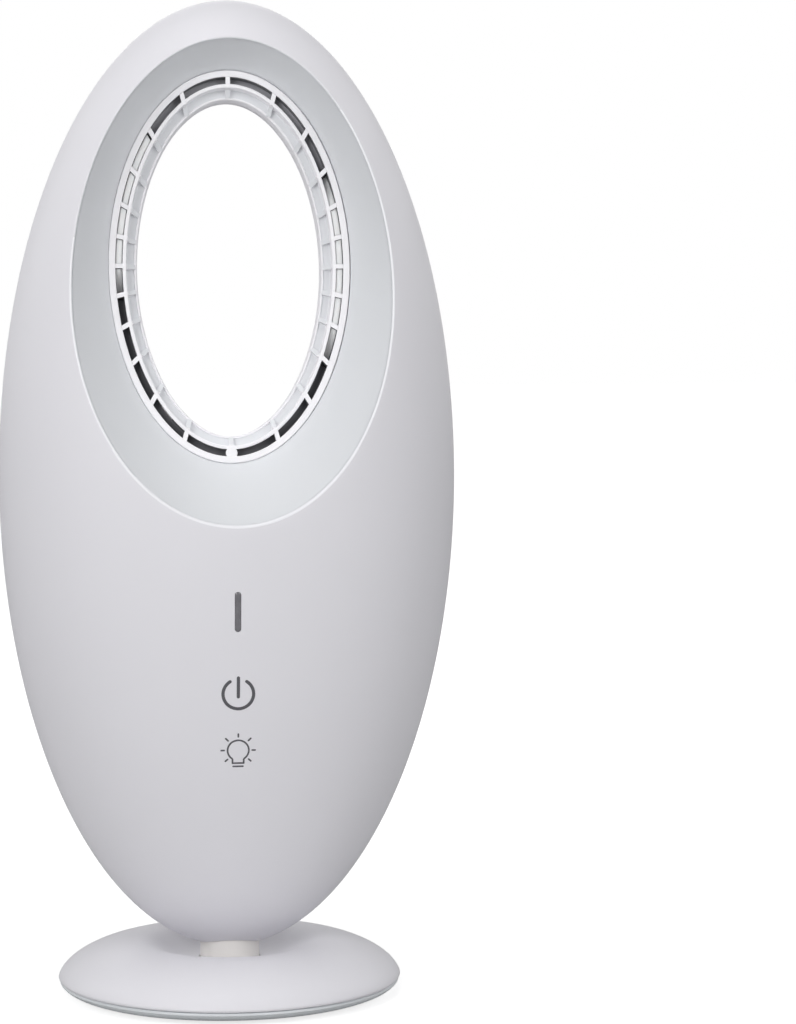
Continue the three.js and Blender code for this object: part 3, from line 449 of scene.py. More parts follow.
def foam(name, colour):
    """Open-cell foam: small round pores."""
    b = Build(name)
    cells = b.add("ShaderNodeTexVoronoi", {"Vector": b.where, "Scale": 1500.0}).outputs["Distance"]
    pores = b.ramp(cells, 0.1, 0.6, 0, 1)
    tone = b.mix(pores, shade(colour, 0.35), shade(colour, 1.4))
    return b.put(Base_Color=tone, Roughness=b.ramp(pores, 0, 1, 0.98, 0.85), Normal=b.bump(pores, 0.12))


def printed(name, colour):
    """Ink that stands a hair above the plastic, a little uneven."""
    b = Build(name)
    tone = b.mix(b.noise(1500, 4), shade(colour, 0.85), shade(colour, 1.15))
    return b.put(Base_Color=tone, Roughness=b.ramp(b.noise(700, 2), 0.3, 0.7, 0.36, 0.5),
                 Normal=b.bump(b.noise(3500, 2), 0.003))


def smoked(name, colour):
    """Smoked clear plastic over a dark guide."""
    b = Build(name)
    deep = b.mix(b.ramp(b.noise(400, 2), 0.35, 0.65, 0, 1), shade(colour, 0.9), shade(colour, 1.1))
    return b.put(Base_Color=deep, Roughness=b.ramp(b.noise(300, 3), 0.3, 0.7, 0.16, 0.24), Coat_Weight=0.5,
                 Coat_Roughness=0.08, Normal=b.bump(b.noise(900, 2), 0.002))


def board(name, colour):
    """Solder mask with copper tracks that show through as paler lines."""
    b = Build(name)
    tracks = {"Vector": b.where, "Scale": 260.0, "Mortar Size": 0.03, "Mortar Smooth": 0.4, "Brick Width": 0.9,
              "Row Height": 0.28}
    grid = b.add("ShaderNodeTexBrick", tracks, offset=0.37).outputs["Fac"]
    weave = b.noise(1800, 2)
    tone = b.mix(b.ramp(grid, 0, 1, 0, 0.75), colour, shade(colour, 2.1))
    tone = b.mix(b.ramp(weave, 0.4, 0.7, 0, 0.3), tone, shade(colour, 0.6))
    return b.put(Base_Color=tone, Roughness=b.ramp(weave, 0.3, 0.7, 0.34, 0.48), Normal=b.bump(grid, 0.03))


def sleeve(name, colour):
    """Shrink sleeve: glossy film with long faint wrinkles."""
    b = Build(name)
    folds = b.noise(5, 3, where=b.stretched((12, 160, 160)))
    tone = b.mix(b.ramp(folds, 0.35, 0.7, 0, 1), shade(colour, 0.85), shade(colour, 1.12))
    return b.put(Base_Color=tone, Roughness=b.ramp(folds, 0.3, 0.7, 0.24, 0.36), Normal=b.bump(folds, 0.05))


# maker, colour on a screen, and for moulded ones: roughness, specular level, grain depth, drift of tone
MATERIALS = {name: maker(name, linear(*colour), *rest) for name, (maker, colour, *rest) in {
    "white_shell": (moulded, (233, 232, 237), 0.48, 0.35),
    "white_grille": (moulded, (248, 247, 250), 0.46, 0.35),
    "grey_tray": (moulded, (222, 226, 229), 0.46),
    "warm_neck": (moulded, (236, 233, 229), 0.42),
    "diffuser": (diffuser, (254, 254, 254)),
    "smoke_lens": (smoked, (112, 111, 116)),
    "dark_plastic": (moulded, (58, 58, 62), 0.5, 0.5, 0.012, 0.93),
    "acetal": (moulded, (226, 222, 208), 0.34),
    "rubber": (rubber, (38, 38, 40)),
    "foam": (foam, (62, 62, 66)),
    "steel": (metal, (196, 198, 202), 0.3),
    "ballast_steel": (metal, (112, 114, 118), 0.5, (200, 200, 200), 5),
    "cell_sleeve": (sleeve, (32, 128, 92)),
    "circuit_board": (board, (28, 92, 52)),
    "ink": (printed, (88, 87, 92)),
    # painted shade: a darker white, a little cooler in tone, for the recess and the pocket floors where shade falls
    "white_funnel": (moulded, (229, 231, 234), 0.5, 0.35),
    # painted highlight: a paler white for the bright line along the recess's edge
    "white_edge": (moulded, (246, 246, 250), 0.42, 0.4),
    # painted shade: mid grey on the slot's walls for the shade inside the slot
    "slot_lining": (moulded, (140, 140, 144), 0.6, 0.3),
    # painted shade and painted light: lit and shaded copies of one grey, darker for the bottom screen and paler for
    # the top one
    "screen_bottom": (moulded, (108, 108, 112), 0.7, 0.2, 0.03),
    "screen_top": (moulded, (176, 176, 181), 0.7, 0.2, 0.03),
}.items()}


# ---- body shells

def front_shell():
    split_y = SPLIT_Y - GAP / 2
    outer = body_rows(-1, 0, recess_edge(RECESS_EDGE), split_y, 64)
    corner = on_body(recess_edge(), -1)
    seat = ring_point(0.07 + 0.2 * np.maximum(0, np.cos(T - math.radians(70))), 0.1)
    span = np.linalg.norm(seat - corner, axis=1, keepdims=True)

    def funnel(k):
        return corner + (seat - corner) * k + np.array([0, 1, 0]) * RECESS_BOW * np.sin(np.pi * k)
    edge = RECESS_EDGE / span
    groove = [funnel(edge + along / span) + np.array([0, depth, 0])
              for along, depth in ((0.25, 0), (0.3, 0.2), (0.42, 0.2), (0.47, 0))]
    walls = [funnel(edge), *groove, *(funnel(edge + (1 - edge) * k) for k in np.linspace(0, 1, 26)[1:])]
    ledge = [ring_point(out, y) for out, y in ((GAP, LEDGE_FRONT), (-LEDGE_REACH, LEDGE_FRONT),
                                               (-LEDGE_REACH, LEDGE_BACK), (LEDGE_ROOT, LEDGE_ROOT_DEPTH))]
    inside_end = recess_edge(0.6)
    inside = body_rows(-1, WALL, inside_end, split_y, 30)[::-1]
    bow = np.array([0, RECESS_BOW, 0])
    back = [ledge[-1] + (inside[0] - ledge[-1]) * k + bow * math.sin(math.pi * k) for k in np.linspace(0, 1, 8)[1:-1]]
    shell = make("shell", skin([*outer, *curve(outer[-1], corner, walls[0], 6)[1:-1], *walls, *ledge, *back, *inside]))
    bosses = [boss_shape(x, z, SCREW_BOSS - 0.4, split_y, -1) for x, z in SCREW_PLACES]
    bosses += [boss_shape(side * POST_X, z, POST_R, BOARD_FRONT - GAP, -1) for z in POST_ZS for side in (-1, 1)]
    carve(shell, [*bosses, *shelves(-1), neck_clamp(-1)], "UNION")
    pilots = [along_y(rod(SCREW_R + GAP, 0, 8), x, SPLIT_Y + 1, z) for x, z in SCREW_PLACES]
    pilots += [along_y(rod(SCREW_R, 0, 6), x, SPLIT_Y - 6.5, z) for x, z in SCREW_PLACES]
    lens = punch(slot_outline(LENS_X, LENS_Z, LENS_WIDTH + 2 * LENS_GAP, LENS_HEIGHT + 2 * LENS_GAP), -1, 0.12, -38)
    return carve(shell, [rod(NECK_R + GAP, *NECK_HOLE, 96), lens, *pilots])


def boss_shape(x, z, r, from_y, side):
    """A screw boss from the parting plane to halfway through the shell's wall."""
    angle = np.arange(40) / 40 * 2 * math.pi
    xs, zs = x + r * np.cos(angle), z + r * np.sin(angle)
    return skin([row(xs, from_y, zs), row(xs, side * surface_y(xs, zs, WALL / 2), zs)], "caps")


def shelves(side):
    """Two ribs along the wall that the baffle plate lies on."""
    made = []
    for left, right in ((-SHELF_TO, -SHELF_FROM), (SHELF_FROM, SHELF_TO)):
        rows = []
        for x in np.linspace(left, right, 12):
            inset = np.array([WALL / 2, WALL + SHELF_REACH, WALL + SHELF_REACH, WALL / 2])
            z = np.array([SHELF_LOW, SHELF_LOW, SHELF_HIGH, SHELF_HIGH])
            rows.append(row(x, side * surface_y(x, z, inset), z))
        made.append(skin(rows, "caps"))
    return made


def neck_clamp(side):
    """One shell's half of the collar that grips the neck's flange."""
    low, high = NECK_FLANGE_Z - GAP, NECK_TOP + GAP
    collar = make("collar", turned([
        (NECK_R + GAP, CLAMP_LOW), (CLAMP_R, CLAMP_LOW), (CLAMP_R, CLAMP_TOP), (NECK_R + CLAMP_GAP, CLAMP_TOP),
        (NECK_R + CLAMP_GAP, high), (NECK_FLANGE_R + GAP, high), (NECK_FLANGE_R + GAP, low), (NECK_R + GAP, low)], 96))
    split_y = SPLIT_Y + side * GAP / 2
    ends = sorted((split_y, side * 20.0))
    carve(collar, [box_shape(-20, 20, *ends, 0, 40)], "INTERSECT")
    angle = np.linspace(0, math.pi, 60)[1:-1]
    inset = WALL / 2
    core = skin([row((BODY_A - inset) * np.sin(q) * np.cos(T[::3]), (BODY_B - inset) * np.sin(q) * np.sin(T[::3]),
                     BODY_Z + (BODY_C - inset) * math.cos(q)) for q in angle], "caps")
    carve(collar, [core], "INTERSECT")
    shape = shape_of(collar)
    bpy.data.objects.remove(collar)
    return shape


def rear_shell():
    split_y = SPLIT_Y + GAP / 2
    outer = body_rows(1, 0, mouth_edge(MOUTH_EDGE), split_y, 58)
    corner = on_body(mouth_edge(), 1)
    front, front_out = ring_point(-HOLE, GRILLE_DEPTH + GAP), ring_point(MOUTH_WALL - HOLE, GRILLE_DEPTH + GAP)
    back_out = on_body(mouth_edge(MOUTH_WALL), 1, WALL)

    def flare(start, end, k):
        bent = start + (end - start) * (0.35 * k + 0.65 * k * k)
        bent[:, 1] = start[:, 1] + (end[:, 1] - start[:, 1]) * k
        return bent
    throat = [flare(front, corner, k) for k in np.linspace(0.94, 0, 30)]
    rim = [flare(front, front_out, k) - np.array([0, 0.25, 0]) for k in (0.3, 0.7)]
    outside = [flare(front_out, back_out, k) for k in np.linspace(0, 0.94, 14)]
    inside = body_rows(1, WALL, mouth_edge(MOUTH_WALL), split_y, 26)[::-1]
    edge = curve(outer[-1], corner, throat[0], 9)[1:-1]
    shell = make("shell", skin([*outer, *edge, *throat, *rim, *outside, *inside]))
    bosses = [boss_shape(x, z, SCREW_BOSS, split_y, 1) for x, z in SCREW_PLACES]
    carve(shell, [*bosses, *shelves(1), neck_clamp(1)], "UNION")
    seat = intake_plate(INTAKE_A + GAP, INTAKE_C + GAP, -3, INTAKE_THICK + GAP)
    opening = intake_plate(INTAKE_A - INTAKE_LIP, INTAKE_C - INTAKE_LIP, -4, 6)
    port = punch(slot_outline(0, USB_Z, USB_WIDTH + 2 * GAP, USB_HEIGHT + 2 * GAP), 1, 0.5, 20)
    recesses = [punch(circle_outline(x, z, SCREW_RECESS), 1, 0.4, SCREW_HEAD_Y - GAP) for x, z in SCREW_PLACES]
    holes = [along_y(rod(SCREW_R + GAP, 0, 16), x, SCREW_HEAD_Y + 1, z) for x, z in SCREW_PLACES]
    carve(shell, [seat])
    carve(shell, [opening, port, rod(NECK_R + GAP, *NECK_HOLE, 96), *recesses])
    return carve(shell, holes)


def circle_outline(x, z, r):
    angle = np.arange(56) / 56 * 2 * math.pi
    return lambda spread: (x + (r + spread) * np.cos(angle), z + (r + spread) * np.sin(angle))


def intake_plate(a, c, out_inset, in_inset, lip=0.0):
    """A curved oval plate that follows the back of the body, its outer rim rounded by lip."""
    angle = np.arange(120) / 120 * 2 * math.pi

    def loop(inset, k, trim=0.0):
        return on_body(oval((a - trim) * k, (c - trim) * k, INTAKE_Z, angle), 1, inset)
    shares = np.linspace(0, 1, 16)[1:]
    outer = [loop(out_inset, k, lip) for k in shares]
    turns = np.linspace(0.3, math.pi / 2, 4)
    rim = [loop(out_inset + lip * (1 - math.cos(q)), 1, lip * (1 - math.sin(q))) for q in turns]
    inner = [loop(in_inset, k) for k in shares[::-1]]
    return skin([*outer, *(rim if lip else []), *inner], "caps")


def intake_grille():
    plate = make("plate", intake_plate(INTAKE_A, INTAKE_C, 0, INTAKE_THICK, 0.35))
    slots = []
    for i in range(SLOT_ROWS):
        z = (i - (SLOT_ROWS - 1) / 2) * SLOT_PITCH
        edge = 1 - ((abs(z) + SLOT_HIGH / 2) / (INTAKE_C - INTAKE_LIP)) ** 2
        reach = (INTAKE_A - INTAKE_LIP) * math.sqrt(max(0, edge)) - 1
        for side in (-1, 1):
            x = side * (reach + MULLION / 2) / 2
            slots.append(punch(slot_outline(x, INTAKE_Z + z, reach - MULLION / 2, SLOT_HIGH, 7, 1.1), 1, 0.35, 20))
    return carve(plate, slots)


# ---- outlet ring and its lights

def angle_toward(theta, out):
    """The ring's own angle where its outline, moved out by out, lies in direction theta."""
    low, high = theta - 0.7, theta + 0.7
    for _ in range(40):
        middle = (low + high) / 2
        x, z = oval(RING_A, RING_C, 0, middle, out)
        error = math.atan2(x, z) - theta
        if math.atan2(math.sin(error), math.cos(error)) < 0:
            low = middle
        else:
            high = middle
    return (low + high) / 2


def ring_spot(theta, out):
    return np.array(oval(RING_A, RING_C, 0, angle_toward(theta, out), out))


def swept(section):
    """A closed section of (out, depth) swept once round the leaning oval."""
    return skin([ring_point(out, depth) for out, depth in section])


def ring_section(theta, corners, aside=0.0):
    """A flat section across the ring at an angle, from (out, depth) corners, moved aside along it."""
    across = np.array([math.cos(theta), -math.sin(theta)]) * aside
    spots = []
    for out, depth in corners:
        x, z = ring_spot(theta, out) + across
        spots.append(lean(x, depth, z))
    return np.vstack(spots)


def radial_plate(theta, corners, width):
    """An upright plate that points from the ring's middle."""
    return skin([ring_section(theta, corners, side * width / 2) for side in (-1, 1)], "caps")


def outlet_grille():
    flange = make("ring", swept(soften([
        (0, -0.6, 0.45), (SLOT_OUT, -0.6, 0.3), (SLOT_OUT, SKIRT_DEPTH, 0.1), (-1, SKIRT_DEPTH, 0.1),
        (-1, 1.5), (0, 1.5, 0.1)])))
    band = swept(soften([
        (SLOT_IN, -0.3, 0.25), (LIP_IN, -0.3, 0.25), (LIP_IN - 0.1, POCKET_DEPTH, 0.4),
        (RIDGE_OUT + 0.1, POCKET_DEPTH + 0.3, 0.15), (RIDGE_OUT, RIDGE_DEPTH, 0.12),
        (RIDGE_OUT - 0.5, RIDGE_DEPTH + 0.1, 0.25), (RIM_IN, RIM_DEPTH, 0.4),
        (-HOLE, GRILLE_DEPTH, 0.1), (SLOT_IN, GRILLE_DEPTH, 0.1)]))
    rib = [(-1.5, -0.3), (LIP_IN, -0.2), (LIP_IN - 0.4, 1.2), (RIDGE_OUT - 0.2, RIDGE_DEPTH - 0.3),
           (RIDGE_OUT - 0.2, 5), (SLOT_IN - 0.5, 6), (-1.5, 6)]
    ribs = [radial_plate(k / RIB_COUNT * 2 * math.pi, rib, RIB_WIDTH) for k in range(RIB_COUNT)]
    foot = ring_spot(math.pi, -BOSS_INSET)
    knob = turned(soften([(0, -SKIRT_DEPTH), (BOSS_R, -SKIRT_DEPTH), (BOSS_R, 0.38, 0.3), (0, 0.38)], False), 48)
    flat = along_y(knob, foot[0], 0, foot[1])[0]
    boss = lean(*flat.T), knob[1]
    carve(flange, [band], "UNION")
    carve(flange, ribs, "UNION")
    return carve(flange, [boss, *(snap_hook(angle) for angle in HOOK_ANGLES)], "UNION")


def snap_hook(angle):
    """A wedge on the ring's skirt that snaps behind the shell's ledge."""
    depth = LEDGE_BACK + GAP
    corners = [(HOOK_ROOT, depth), (HOOK_TIP, depth), (HOOK_TIP, depth + HOOK_LAND), (HOOK_ROOT, depth + HOOK_LENGTH)]
    turns = np.radians(np.linspace(angle - HOOK_HALF, angle + HOOK_HALF, 7))
    return skin([ring_section(turn, corners) for turn in turns], "caps")


def slot_strip(start, end, side, front_at, back, lip=0.0):
    """A strip in the slot between two angles; front_at gives its front depth along the way."""
    rows = []
    for angle in np.linspace(start, end, max(2, round((end - start) / 1.5))):
        front = front_at(angle)
        corners = soften([(SLOT_OUT - side, front, lip), (SLOT_IN + side, front, lip),
                          (SLOT_IN + side, back), (SLOT_OUT - side, back)], True, 4)
        rows.append(ring_section(math.radians(angle), corners))
    return skin(rows, "caps")


def outlet_screen(start, end):
    """A thin dark screen behind the open cells between two angles; its grey is painted shade for the dark inside of
    the ring.
    """
    back = SCREEN_DEPTH + SCREEN_THICK
    return slot_strip(start + STRIP_END, end - STRIP_END, 0.01, lambda angle: SCREEN_DEPTH, back)


def ring_place(spot, near):
    """How far a point lies out and deep in the ring, measured from an oval near it."""
    x, y, z = spot[0], spot[1] - RING_Y, spot[2] - RING_Z
    depth = y * math.cos(RING_LEAN) - z * math.sin(RING_LEAN)
    up = y * math.sin(RING_LEAN) + z * math.cos(RING_LEAN)
    a, c = RING_A + near, RING_C + near
    return near + ((x / a) ** 2 + (up / c) ** 2 - 1) / 2 / math.hypot(x / a ** 2, up / c ** 2), depth


def in_slot(spot):
    """Whether a point is on the walls of the slot, behind their front edges."""
    out, depth = ring_place(spot, -FLANGE - SLOT / 2)
    return depth > 0.3 and abs(out + FLANGE + SLOT / 2) < SLOT / 2 + 0.12


def in_pocket(spot):
    """Whether a point is on the floor of the pocket inside the slot."""
    out, depth = ring_place(spot, (LIP_IN + RIDGE_OUT) / 2)
    return 0.4 < depth < POCKET_DEPTH + 0.6 and RIDGE_OUT + 0.05 < out < LIP_IN + 0.05


def light_guide(span):
    """White blocks in the slot's cells on a strip behind the ribs, sunk where the light fades."""
    start, end, ramp_in, ramp_out = span

    def front_at(angle):
        fades = [1 - way / ramp for way, ramp in ((angle - start, ramp_in), (end - angle, ramp_out)) if ramp]
        return GUIDE_FRONT + GUIDE_SUNK * max(0, *fades)
    guide = make("guide", slot_strip(start + STRIP_END, end - STRIP_END, GUIDE_GAP, front_at, GUIDE_BACK, 0.15))
    notch = [(0, -1), (SLOT_IN - 1, -1), (SLOT_IN - 1, GUIDE_RIB_DEPTH), (0, GUIDE_RIB_DEPTH)]
    step = 360 / RIB_COUNT
    ribs = [k * step for k in range(-RIB_COUNT, RIB_COUNT) if start < k * step < end]
    return carve(guide, [radial_plate(math.radians(a), notch, RIB_WIDTH + 2 * GUIDE_GAP) for a in ribs])


# ---- base and neck

def shoulder(k, inset=0.0):
    angle = k * math.pi / 2
    rise = (CREST_Z - SHOULDER_Z) * math.sin(angle) ** SHOULDER_BEND
    return CREST_R + (BASE_R - CREST_R - inset) * math.cos(angle), SHOULDER_Z - inset + rise


def dish(k, inset=0.0):
    drop = (CREST_Z - HUB_Z) * (1 - math.cos(math.pi * k)) / 2
    return CREST_R + (HUB_R - CREST_R) * k, CREST_Z - inset - drop


def base_top():
    low = BASE_SPLIT + BASE_SEAM
    outside = soften([(BASE_R - 2.8, low), (BASE_R - 0.25, low, 0.2), shoulder(0.03)], False)
    outside += [shoulder(k) for k in np.linspace(0.05, 1, 40)]
    outside += [dish(k) for k in np.linspace(0, DISH_END, 40)[1:]]
    hub = soften([dish(DISH_END), (HUB_LIP_R, HUB_Z, 0.25), (HUB_LIP_R, HUB_Z - 0.4, 0.1), (HUB_R, HUB_Z - 0.4),
                  (HUB_R, HUB_BOTTOM, 0.2), (HUB_R + HUB_WALL, HUB_BOTTOM, 0.2), dish(0.8, BASE_WALL)], False)[1:]
    inside = [dish(k, BASE_WALL) for k in np.linspace(0.75, 0.1, 14)]
    inside += [shoulder(k, BASE_WALL) for k in np.linspace(0.97, 0.2, 18)]
    shell = make("base", turned([*outside, *hub, *inside], 192))
    bosses, holes = [], []
    for x, y in around(3, BASE_SCREW_RING, math.pi / 2):
        bosses.append(moved(rod(3.2, TRAY_FLOOR + GAP, boss_top(x, y)), x, y))
        holes.append(moved(rod(BASE_SCREW_R + GAP, 0, BASE_SCREW_TOP + 1), x, y))
    carve(shell, bosses, "UNION")
    return carve(shell, holes)


def boss_top(x, y):
    """Where a boss under the base's shoulder ends, half a wall into it."""
    r = math.hypot(x, y) + 3.2
    angle = math.acos((r - CREST_R) / (BASE_R - CREST_R))
    return SHOULDER_Z + (CREST_Z - SHOULDER_Z) * math.sin(angle) ** SHOULDER_BEND - BASE_WALL / 2


def around(count, r, start):
    return [(r * math.cos(start + i / count * 2 * math.pi), r * math.sin(start + i / count * 2 * math.pi))
            for i in range(count)]


def arc_block(inner, outer, bottom, top, middle, half):
    rows = []
    for degrees in np.linspace(middle - half, middle + half, 5):
        c, s = math.cos(math.radians(degrees)), math.sin(math.radians(degrees))
        corners = ((inner, bottom), (outer, bottom), (outer, top), (inner, top))
        rows.append(np.array([(r * c, r * s, z) for r, z in corners]))
    return skin(rows, "caps")


def base_tray():
    top = BASE_SPLIT - BASE_SEAM
    rise = top - TRAY_BOTTOM
    reach = TRAY_RIM_R - TRAY_FLAT_R
    flank = [(TRAY_FLAT_R + reach * math.sin(k), TRAY_BOTTOM + rise * (1 - math.cos(k)))
             for k in np.linspace(0, math.pi / 2 - 0.3, 22)]
    rim = soften([flank[-1], (TRAY_RIM_R, top - 0.75, 0.2), (TRAY_RIM_R - 0.35, top, 0.25),
                  (TRAY_RIM_R - 2, top, 0.3),
                  (TRAY_FLAT_R + 2.5, TRAY_FLOOR, 1), (0, TRAY_FLOOR)], False)[1:]
    tray = make("tray", turned([(0, TRAY_BOTTOM), *flank, *rim], 192))
    carve(tray, [arc_block(STOP_IN, STOP_OUT, TRAY_FLOOR - 1, STOP_TOP, 90 + side * STOP_ANGLE, STOP_HALF)
                 for side in (-1, 1)], "UNION")
    cuts = [moved(rod(FOOT_R + GAP, -1, FOOT_HEIGHT + GAP), x, y) for x, y in around(4, FOOT_RING, math.pi / 4)]
    screws = around(3, BASE_SCREW_RING, math.pi / 2)
    cuts += [moved(rod(BASE_SCREW_HEAD + GAP, -1, 1.9), x, y) for x, y in screws]
    carve(tray, cuts)
    return carve(tray, [moved(rod(BASE_SCREW_R + GAP, 0, 8), x, y) for x, y in screws])


def foot(x, y):
    profile = soften([(0, 0.15), (FOOT_R - 2.2, 0.15, 0.1), (FOOT_R - 1.9, 0, 0.1), (FOOT_R, 0, 0.35),
                      (FOOT_R, FOOT_HEIGHT, 0.1), (0, FOOT_HEIGHT)], False)
    return moved(turned(profile, 72), x, y)


def screw(r, head, head_high, length):
    """A screw from its head at 0 along +Z, with a cross recess and turned thread rings."""
    body = [(0, 0), (head, 0, 0.25), (head, head_high, 0.2), (r, head_high, 0.1)]
    for z in np.arange(head_high + 0.8, length - 0.8, 0.6):
        body += [(r, z), (r * 0.86, z + 0.3)]
    body += [(r * 0.8, length - 0.5), (0, length)]
    made = make("screw", turned(soften(body, False, 4), 40))
    reach, half = head * 0.62, 0.28
    carve(made, [box_shape(-reach, reach, -half, half, -1, head_high * 0.62)])
    carve(made, [box_shape(-half, half, -reach, reach, -1.001, head_high * 0.621)])
    shape = shape_of(made)
    bpy.data.objects.remove(made)
    return shape


def box_shape(x0, x1, y0, y1, z0, z1):
    loop = [(x0, y0), (x1, y0), (x1, y1), (x0, y1)]
    return skin([np.array([(x, y, z) for x, y in loop]) for z in (z0, z1)], "caps")


def neck_post():
    return turned(soften([
        (NECK_BORE, NECK_BOTTOM, 0.3), (STEM_R, NECK_BOTTOM, 0.4), (STEM_R, HUB_Z - 0.2), (NECK_R, HUB_Z - 0.2, 0.4),
        (NECK_R, NECK_FLANGE_Z, 0.5), (NECK_FLANGE_R, NECK_FLANGE_Z, 0.4), (NECK_FLANGE_R, NECK_TOP, 0.4),
        (NECK_BORE, NECK_TOP, 0.4)]))


# ---- lens, signs and socket

def indicator_lens():
    shape_at = slot_outline(LENS_X, LENS_Z, LENS_WIDTH, LENS_HEIGHT)
    crown = ((-0.7, 0.04), (-0.4, 0.05), (-0.15, 0.08), (0, 0.2))
    rows = [on_body(shape_at(spread), -1, inset) for spread, inset in crown]
    x, z = shape_at(0)
    return skin([*rows, row(x, BOARD_FRONT - GAP, z)], "caps")


def sign_spot(u, v, place, inset):
    """A point of a sign drawn flat on the front, u across and v up from its middle, place."""
    u, sign_z = u + place[0], place[1]
    low, high = surface_y(0, sign_z - 1), surface_y(0, sign_z + 1)
    z = sign_z + v / math.hypot(1, (high - low) / 2)
    return row(u, -surface_y(u, z, inset), z)


def stroke(path, width, place):
    """A printed line of even width with round ends, a hair above the surface."""
    path = np.array(path, float)
    spans = np.diff(path, axis=0)
    along = np.concatenate([[0], np.cumsum(np.hypot(*spans.T))])
    half = width / 2
    turn = np.linspace(0, math.pi / 2, 6)
    start = [(-half * math.cos(q), max(half * math.sin(q), 0.004)) for q in turn[:-1]]
    inner = np.linspace(0, along[-1], max(2, round(along[-1] / 0.25)) + 1)
    places = [*start, *((s, half) for s in inner), *((along[-1] - s, w) for s, w in start[::-1])]
    rows = []
    for s, w in places:
        behind, spot, ahead = (np.array([np.interp(s + d, along, path[:, i]) for i in (0, 1)])
                               for d in (-0.05, 0, 0.05))
        way = ahead - behind
        if np.linalg.norm(way) < 1e-6:
            way = spans[0] if s < 0 else spans[-1]
        way = way / np.linalg.norm(way)
        spot = spot + way * (min(s, 0) + max(s - along[-1], 0))
        side = np.array([-way[1], way[0]]) * w
        ring = [(spot + side, 0.05), (spot + side, -0.03), (spot - side, -0.03), (spot - side, 0.05)]
        rows.append(np.vstack([sign_spot(u, v, place, inset) for (u, v), inset in ring]))
    return skin(rows, "caps")


def arc(r, start, end, steps=60):
    """Points of an arc, angles in degrees clockwise from the top."""
    return [(r * math.sin(a), r * math.cos(a)) for a in np.radians(np.linspace(start, end, steps))]


def power_sign():
    r, width, place = 4.45, 0.95, (POWER_X, POWER_Z)
    return together([stroke(arc(r, 33, 327), width, place), stroke([(0, 4.85), (0, -0.85)], width, place)])


def lamp_sign():
    r, neck, width, place = 3.1, 1.64, 0.5, (LAMP_X, LAMP_Z)
    neck_end, under = -3.95, -4.95
    open_at = 180 - math.degrees(math.asin(neck / r))
    bulb = [(-neck, neck_end), *arc(r, -open_at, open_at, steps=80), (neck, neck_end)]
    lines = [stroke(bulb, width, place), stroke([(-neck, neck_end), (neck, neck_end)], width, place),
             stroke([(-1.42, under), (1.42, under)], width, place)]
    for degrees, near, far in ((0, 4.2, 5.0), (45, 4.2, 5.15), (-45, 4.2, 5.15), (90, 4.1, 4.95), (-90, 4.1, 4.95),
                               (132, 4.15, 5.0), (-132, 4.15, 5.0)):
        x, z = math.sin(math.radians(degrees)), math.cos(math.radians(degrees))
        lines.append(stroke([(x * near, z * near), (x * far, z * far)], width, place))
    return together(lines)


def usb_loop(width, height, y, **shape):
    x, z = slot_outline(0, USB_Z, width, height, **shape)(0)
    return row(x, y, z)


def usb_socket():
    back, thick, w, h = USB_FRONT - USB_DEPTH, 0.3, USB_WIDTH, USB_HEIGHT
    sizes = ((0.3, back), (0, back + 0.2), (0, USB_FRONT - 0.12), (0.16, USB_FRONT), (2 * thick - 0.1, USB_FRONT),
             (2 * thick, USB_FRONT - 0.15), (2 * thick, back + 0.8))
    return skin([usb_loop(w - less, h - less, y) for less, y in sizes], "caps")


def usb_tongue():
    back, front = USB_FRONT - USB_DEPTH + 0.6, USB_FRONT - 1
    sizes = ((6.6, 1.2, back), (6.6, 1.2, back + 2), (6.6, 0.7, back + 2.3), (6.6, 0.7, front - 0.2),
             (6.3, 0.45, front))
    return skin([usb_loop(*size, steps=5, corner=0.15) for size in sizes], "caps")


def usb_contacts():
    back = USB_FRONT - 4.6
    pins = []
    for side in (-1, 1):
        for i in range(12):
            x = (i - 5.5) * 0.5
            z0, z1 = sorted((USB_Z + side * 0.3, USB_Z + side * 0.38))
            pins.append(box_shape(x - 0.13, x + 0.13, back, USB_FRONT - 1.4, z0, z1))
    return together(pins)


# ---- inside pieces: corners of turned profiles are (radius, height, rounding)

def blade(from_r, to_r, bottom, top, angle, root_pitch, tip_pitch, thick, spans=12):
    """A blade whose chord turns about the axis as it rises, thickest in the middle."""
    half = (top - bottom) / 2
    chord = np.sin(np.linspace(-math.pi / 2, math.pi / 2, 15))
    rows = []
    for k in np.linspace(0, 1, spans):
        r = from_r + (to_r - from_r) * k
        turn = half * math.tan(math.radians(root_pitch + (tip_pitch - root_pitch) * k)) / r
        full = thick * (0.25 + 0.75 * np.sqrt(1 - chord ** 2)) / 2 / r
        middle = angle + turn * chord + 0.12 * turn * (1 - chord ** 2)
        at = np.concatenate([middle + full, (middle - full)[::-1]])
        z = bottom + half * (1 + np.concatenate([chord, chord[::-1]]))
        rows.append(row(r * np.cos(at), r * np.sin(at), z))
    return skin(rows, "caps")


def impeller():
    hub = make("hub", turned(soften([
        (1.56, 76), (8, 76, 0.5), (9.9, 79.4, 2), (11.4, 83, 2), (13, 93, 0.4), (11.2, 93, 0.3), (5, 86.4, 1.5),
        (1.56, 86, 0.3)])))
    blades = [blade(9.6, 26, 77.2, 92, i / 7 * 2 * math.pi, 34, 56, 1.3) for i in range(7)]
    return carve(hub, blades, "UNION")


def impeller_duct():
    barrel = make("duct", turned(soften([
        (31, 69, 0.4), (26.9, 71.2, 1.2), (26.7, 74, 1), (26.7, 121, 0.4), (31, 121, 0.4), (31, 119, 0.4),
        (28.7, 119, 0.8), (28.7, 73.6, 1.5), (32, 70.2, 0.4)])))
    cup = turned(soften([
        (12.6, 95, 0.2), (13.8, 95, 0.3), (13.8, 115, 1), (6, 123, 1.5), (0, 123)], False)
        + [(0, 114), (12.6, 114), (12.6, 95)])
    vanes = [blade(13.2, 27.5, 97, 114, i / 5 * 2 * math.pi, -30, -18, 1.4) for i in range(5)]
    carve(barrel, [cup], "UNION")
    return carve(barrel, vanes, "UNION")


